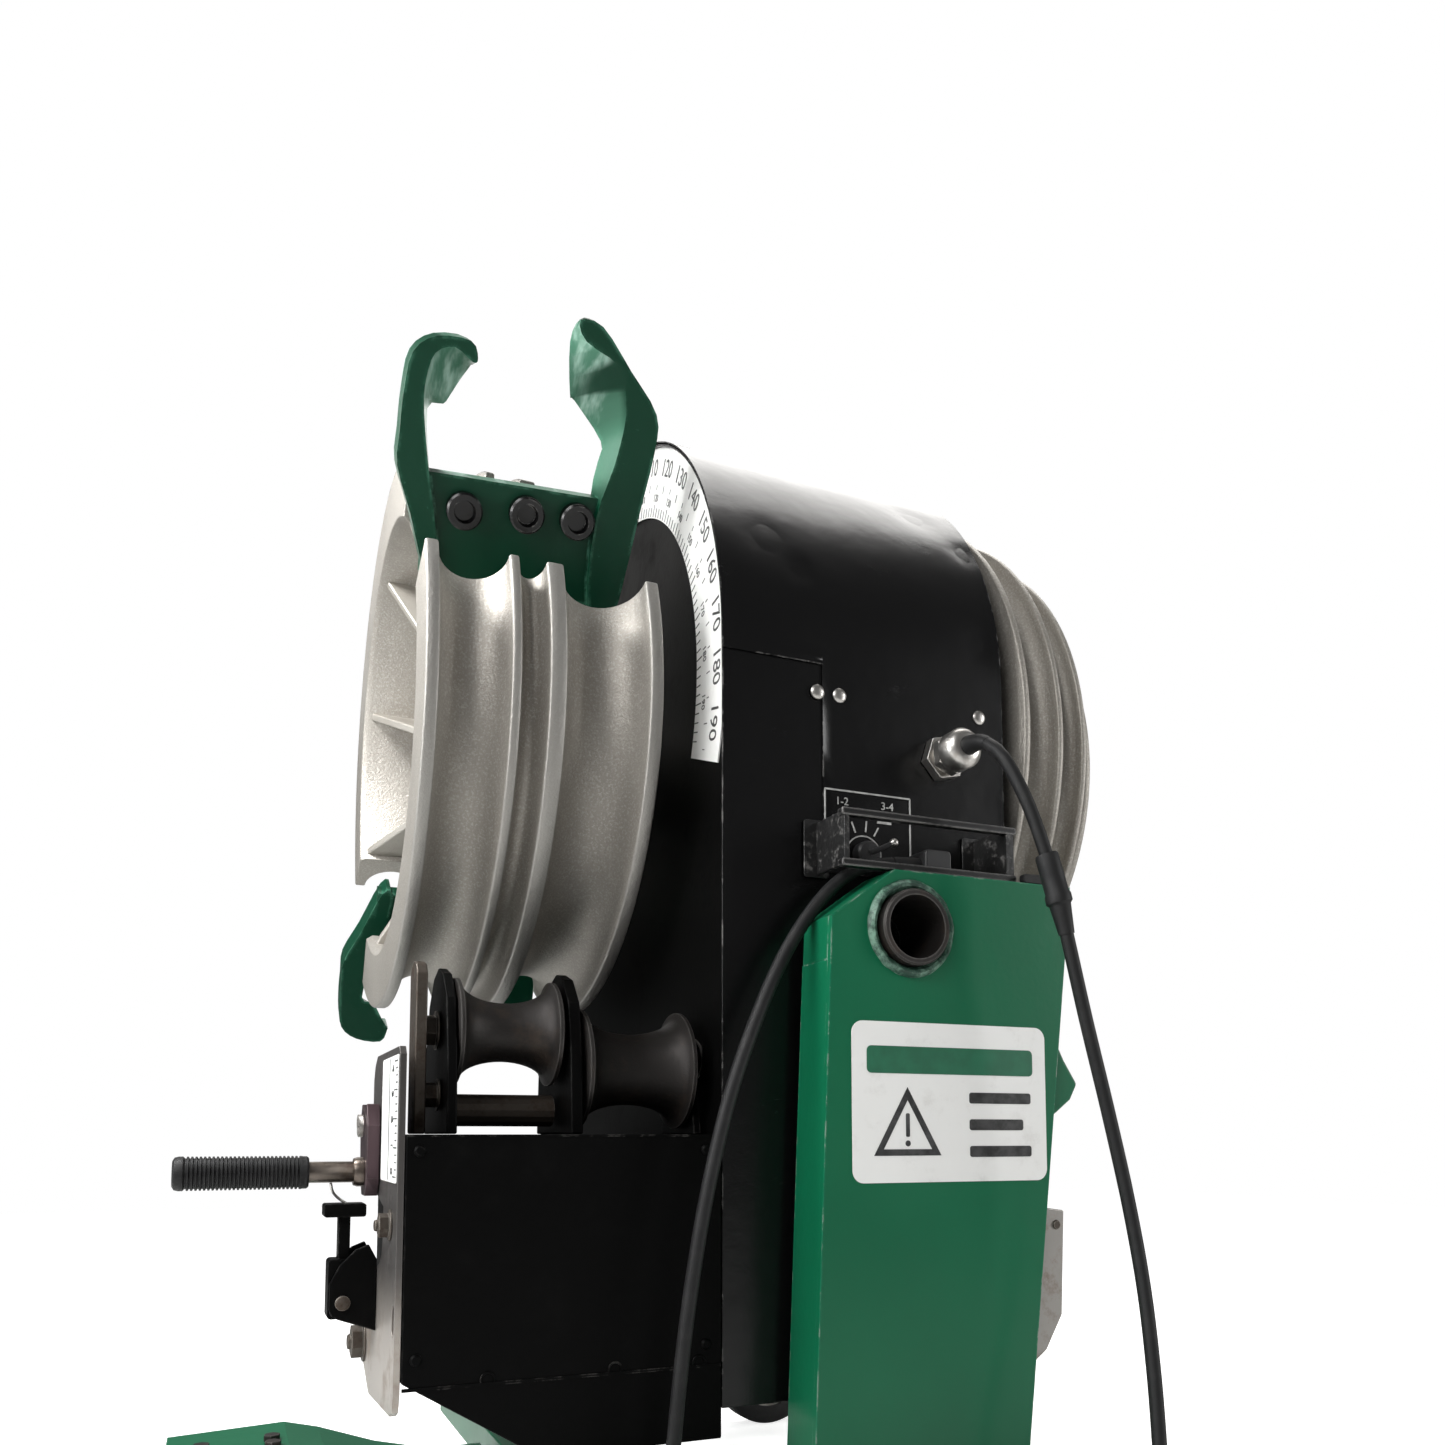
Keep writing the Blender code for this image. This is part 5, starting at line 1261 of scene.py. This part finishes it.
# Green frame and wheels ---------------------------------------------------------------------
def make_arm_details():
    for name, side in (("near", -1), ("far", 1)):
        bm = bmesh.new()
        rows = 72
        section = [(0.0318, 0.0), (0.0345, 0.0042), (0.0370, 0.0052), (0.0395, 0.0034), (0.0408, 0.0)]
        rings = []
        for k in range(rows):
            a = 2 * math.pi * k / rows
            rough = 1.0 + 0.22 * noise.noise(Vector((9 * math.cos(a), 9 * math.sin(a), 2.0 * side)))
            grow = 1.0 + 0.02 * noise.noise(Vector((4 * math.cos(a), 4 * math.sin(a), 7.0)))
            rings.append([bm.verts.new((TILT_X + r * grow * math.cos(a), side * (ARM_FACE + h * rough),
                                        TILT_Z + r * grow * math.sin(a))) for r, h in section])
        for k in range(rows):
            one, two = rings[k], rings[(k + 1) % rows]
            for j in range(len(section) - 1):
                bm.faces.new((one[j], one[j + 1], two[j + 1], two[j]))
            bm.faces.new((one[-1], one[0], two[0], two[-1]))
        piece(name + "_trunnion_weld", bm, "weld_green", "frame")
        bm = bmesh.new()
        y = sorted((side * 0.3660, side * 0.2955))
        turned(bm, [(y[0], 0.0262), (y[0], 0.0300), (y[0] + 0.0015, 0.0315), (y[1] - 0.0015, 0.0315),
                    (y[1], 0.0300), (y[1], 0.0262)], "Y", (TILT_X, TILT_Z), 64)
        piece(name + "_trunnion_tube", bm, "dark_steel", "head", (name + "_pivot",))
    lip = [(0.0474, 0.556), (0.0490, 0.591), (0.1070, 0.633), (0.1105, 0.628), (0.0548, 0.5872),
           (0.0534, 0.556)]
    for name, side in (("near", -1), ("far", 1)):
        bm = solid_bm(lip, "Y", *sorted((side * 0.3065, side * 0.3495)))
        piece(name + "_arm_lip", bm, "green_paint", "frame", (), 0.0008, 2)
    bm = bmesh.new()
    label = rounded(0.0655, 0.3785, 0.2540, 0.5077, 0.010, 8)
    prism(bm, label, "Y", -0.3556, -0.3550)
    piece("arm_label", bm, "label_white", "frame")
    bm = bmesh.new()
    front = (-0.3559, -0.3553)
    prism(bm, rounded(0.0790, 0.4660, 0.2405, 0.4880, 0.004, 4), "Y", *front)
    piece("label_green_bar", bm, "label_green", "frame")
    bm = bmesh.new()
    corners = [Vector((0.0850, 0.4000)), Vector((0.1480, 0.4000)), Vector((0.1165, 0.4550))]
    mid = sum(corners, Vector((0.0, 0.0))) / 3
    inner = [mid + (corner - mid) * 0.72 for corner in corners]
    for i in range(3):
        j = (i + 1) % 3
        prism(bm, [corners[i], corners[j], inner[j], inner[i]], "Y", *front)
    prism(bm, rounded(0.1147, 0.4150, 0.1183, 0.4340, 0.0012, 3), "Y", *front)
    prism(bm, arc((0.1165, 0.4098), 0.0024, 0, 345, 23), "Y", *front)
    for z, x1 in ((0.4470, 0.2380), (0.4250, 0.2300), (0.4030, 0.2380)):
        prism(bm, rounded(0.1760, z - 0.0045, x1, z + 0.0045, 0.002, 3), "Y", *front)
    piece("label_pictogram", bm, "ink", "frame")
    bm = solid_bm(rounded(0.2370, 0.6332, 0.2620, 0.6415, 0.003, 3), "Y", -0.3546, -0.3476)
    piece("arm_rubber_stop", bm, "rubber", "frame", (), 0.001, 2)
    bm = bmesh.new()
    prism(bm, [(0.2400, 0.3570), (0.2767, 0.3522), (0.2725, 0.2640), (0.2555, 0.2354), (0.2323, 0.2190)], "Y",
          -0.3485, -0.3435)
    piece("tilt_lock_sheet", bm, "steel", "frame", ("tilt_lock_plate",), 0.0012, 2)
    bm = bmesh.new()
    turned(bm, [(-0.3500, 0.0), (-0.3500, 0.0034), (-0.3483, 0.0044), (-0.3483, 0.0)], "Y",
           (0.2680, 0.3400), 20)
    piece("tilt_lock_bolt", bm, "brown_steel", "frame")
    bm = bmesh.new()
    prism(bm, [(0.2450, 0.4950), (0.2756, 0.4930), (0.2816, 0.4811), (0.2950, 0.4610), (0.2872, 0.4470),
               (0.2706, 0.4347), (0.2450, 0.4300)], "Y", -0.3485, -0.3300)
    piece("tilt_lock_lug", bm, "green_paint", "frame", (), 0.003, 3)


def make_wheel(name, side, body):
    x, z = 0.352, 0.075
    y0, y1 = sorted((side * 0.399, side * 0.438))
    bm = bmesh.new()
    tread = [(y0, 0.050), (y0, 0.068), (y0 + 0.002, 0.0725), (y0 + 0.006, 0.0749)]
    for k in range(1, 4):
        mid = y0 + 0.006 + 0.027 * k / 4
        tread += [(mid - 0.0015, 0.0750), (mid - 0.0010, 0.0735), (mid + 0.0010, 0.0735),
                  (mid + 0.0015, 0.0750)]
    tread += [(y1 - 0.006, 0.0749), (y1 - 0.002, 0.0725), (y1, 0.068), (y1, 0.050)]
    turned(bm, tread, "Y", (x, z), 72)
    piece(name + "_tyre", bm, "rubber", body, (name,), angle=28.0)
    bm = bmesh.new()
    turned(bm, [(y0 + 0.002, 0.0112), (y0 + 0.002, 0.022), (y0 + 0.010, 0.026), (y0 + 0.012, 0.046),
                (y0 + 0.004, 0.0502), (y1 - 0.004, 0.0502), (y1 - 0.012, 0.046), (y1 - 0.010, 0.026),
                (y1 - 0.002, 0.022), (y1 - 0.002, 0.0112)], "Y", (x, z), 60)
    piece(name + "_hub", bm, "steel", body, (), 0.0012, 2)


def make_caster():
    x, z = -0.348, 0.045
    bm = bmesh.new()
    turned(bm, [(-0.017, 0.0072), (-0.017, 0.038), (-0.0155, 0.0420), (-0.011, 0.0445), (0.0, 0.0450),
                (0.011, 0.0445), (0.0155, 0.0420), (0.017, 0.038), (0.017, 0.0072)], "Y", (x, z), 60)
    piece("caster_tyre", bm, "rubber", "caster", ("caster_wheel",), angle=30.0)
    bm = bmesh.new()
    for side in (-1, 1):
        turned(bm, [(side * 0.0186, 0.0072), (side * 0.0186, 0.021), (side * 0.0168, 0.025),
                    (side * 0.0168, 0.0072)], "Y", (x, z), 40)
    piece("caster_hub_caps", bm, "steel", "caster")


def make_running_gear():
    make_wheel("near_wheel", -1, "near_wheel")
    make_wheel("far_wheel", 1, "far_wheel")
    make_caster()
    bolts = bmesh.new()
    for x, top in ((-0.398, 0.1410), (-0.340, 0.1438)):
        for y in (-0.040, -0.016):
            prism(bolts, hexagon((x, y), 0.013, 20), "Z", top - 0.001, top + 0.0055)
    piece("caster_bolts", bolts, "dark_steel", "frame", (), 0.0008, 2)


# Things on the cords -------------------------------------------------------------
def make_plug_and_handset():
    x, y, z = POWER_COIL[0] - 0.062, POWER_COIL[1], PLUG_Z
    bm = bmesh.new()
    line = [(y + 0.0300, 0.0), (y + 0.0300, 0.0078), (y + 0.0270, 0.0084)]
    for k in range(4):
        start = y + 0.0250 - 0.0045 * k
        line += [(start, 0.0088 + 0.0010 * k), (start - 0.0014, 0.0080 + 0.0010 * k),
                 (start - 0.0026, 0.0090 + 0.0010 * k)]
    line += [(y + 0.0050, 0.0140), (y - 0.0060, 0.0165), (y - 0.0180, 0.0178), (y - 0.0240, 0.0178),
             (y - 0.0258, 0.0165), (y - 0.0258, 0.0)]
    turned(bm, line, "Y", (x, z), 44)
    piece("moulded_plug", bm, "rubber", "frame", ("power_plug",), angle=40.0)
    bm = bmesh.new()
    for dx in (-0.0064, 0.0064):
        prism(bm, rounded(x + dx - 0.0008, z - 0.0032, x + dx + 0.0008, z + 0.0032, 0.0006, 2), "Y",
              y - 0.0440, y - 0.0250)
    turned(bm, [(y - 0.0455, 0.0), (y - 0.0450, 0.0018), (y - 0.0435, 0.0024), (y - 0.0250, 0.0024),
                (y - 0.0250, 0.0)], "Y", (x, z + 0.0085), 16)
    piece("plug_blades", bm, "nickel", "frame")
    hx = 0.142
    outline = closed_smooth([(hx - 0.020, -0.0825), (hx - 0.0235, -0.060), (hx - 0.0235, 0.000),
                             (hx - 0.0225, 0.045), (hx - 0.017, 0.0615), (hx + 0.017, 0.0615),
                             (hx + 0.0225, 0.045), (hx + 0.0235, 0.000), (hx + 0.0235, -0.060),
                             (hx + 0.020, -0.0825)], 5)
    wells = [solid_bm(arc((hx, by), 0.0098, 0, 350, 35), "Z", 0.0290, 0.0600) for by in (-0.040, 0.0)]
    bm = cut(solid_bm(outline, "Z", 0.0006, 0.0399), *wells)
    piece("handset_case", bm, "plastic", "frame", ("pendant_handset",), 0.0022, 3)
    bm = bmesh.new()
    for by in (-0.040, 0.0):
        rim = [(0.0395, 0.0100), (0.0395, 0.0130), (0.0405, 0.0136), (0.0418, 0.0130), (0.0418, 0.0104)]
        turned(bm, rim, "Z", (hx, by), 32)
    prism(bm, rounded(hx - 0.010, 0.020, hx + 0.010, 0.040, 0.003, 4), "Z", 0.0396, 0.0404)
    piece("handset_button_rims", bm, "nickel", "frame")
    bm = bmesh.new()
    line = [(-0.1080, 0.0), (-0.1080, 0.0062)]
    for k in range(5):
        start = -0.1060 + 0.0050 * k
        line += [(start, 0.0064), (start + 0.0012, 0.0056), (start + 0.0026, 0.0064)]
    turned(bm, line + [(-0.0800, 0.0065), (-0.0800, 0.0)], "Y", (hx, RELIEF_Z), 24)
    piece("handset_relief_boot", bm, "rubber", "frame", angle=40.0)
    for name, by, finish in (("bend_button", -0.040, "button_green"), ("unload_button", 0.0, "button_red")):
        bm = bmesh.new()
        turned(bm, [(0.0340, 0.0), (0.0340, 0.0090), (0.0448, 0.0090), (0.0460, 0.0078), (0.0455, 0.0050),
                    (0.0450, 0.0)], "Z", (hx, by), 36)
        piece(name + "_cap", bm, finish, name, (name,), angle=40.0)
    ties = bmesh.new()
    for (cx, cy), angle, top in ((POWER_COIL, 205, 0.0595), (POWER_COIL, 335, 0.0595),
                                 (PENDANT_COIL, 150, 0.0362), (PENDANT_COIL, 300, 0.0362)):
        a = math.radians(angle)
        out = Vector((math.cos(a), math.sin(a), 0.0))
        low, mid = 0.0024, Vector((cx, cy, 0.0))
        corners = [(0.0475, low + 0.004), (0.0505, low), (0.0735, low), (0.0755, low + 0.004),
                   (0.0755, top - 0.004), (0.0735, top), (0.0505, top), (0.0475, top - 0.004)]
        loop = [mid + out * r + Vector((0, 0, z)) for r, z in corners]
        tube_mesh(ties, smooth(loop + loop[:1], 0.004), 0.0012, 8)
    piece("cord_ties", ties, "plastic", "frame")


make_shoes()
make_hooks()
make_cover()
make_scale()
make_switch()
make_glands()
make_rollers()
make_box_end()
make_lever()
make_lower_box_trim()
make_arm_details()
make_running_gear()
make_plug_and_handset()
make_cords()

# CAD pieces that keep their shape: finish -> (width of the rounded edges, nodes) -----------
KEPT = {
    "green_paint": (0.0022, ["near_arm", "far_arm", "near_rail", "far_rail", "front_crossbar",
                             "rear_crossbar", "centre_beam", "caster_bracket"]),
    "black_paint": (0.0008, ["motor_cover"]),
    "matt_black": (0.0012, ["motor", "lower_box", "roller_bracket", "left_end_plate", "right_end_plate"]),
    "steel": (0.0006, ["main_shaft", "left_bearing", "right_bearing", "left_roller_pin", "right_roller_pin",
                       "wheel_axle"]),
    "brown_steel": (0.0006, ["support_shaft"]),
    "tempered": (0.001, ["lever_cam"]),
    "dark_steel": (0.0008, ["large_sprocket", "small_sprocket", "drive_chain", "gearbox", "caster_fork"]),
}


def finish_kept():
    for finish, (width, names) in KEPT.items():
        for name in names:
            node = nodes[name]
            node.data.materials.clear()
            node.data.materials.append(FINISHES[finish])
            if width:
                round_edges(node, width, 2, 35.0, weld=True)


finish_kept()
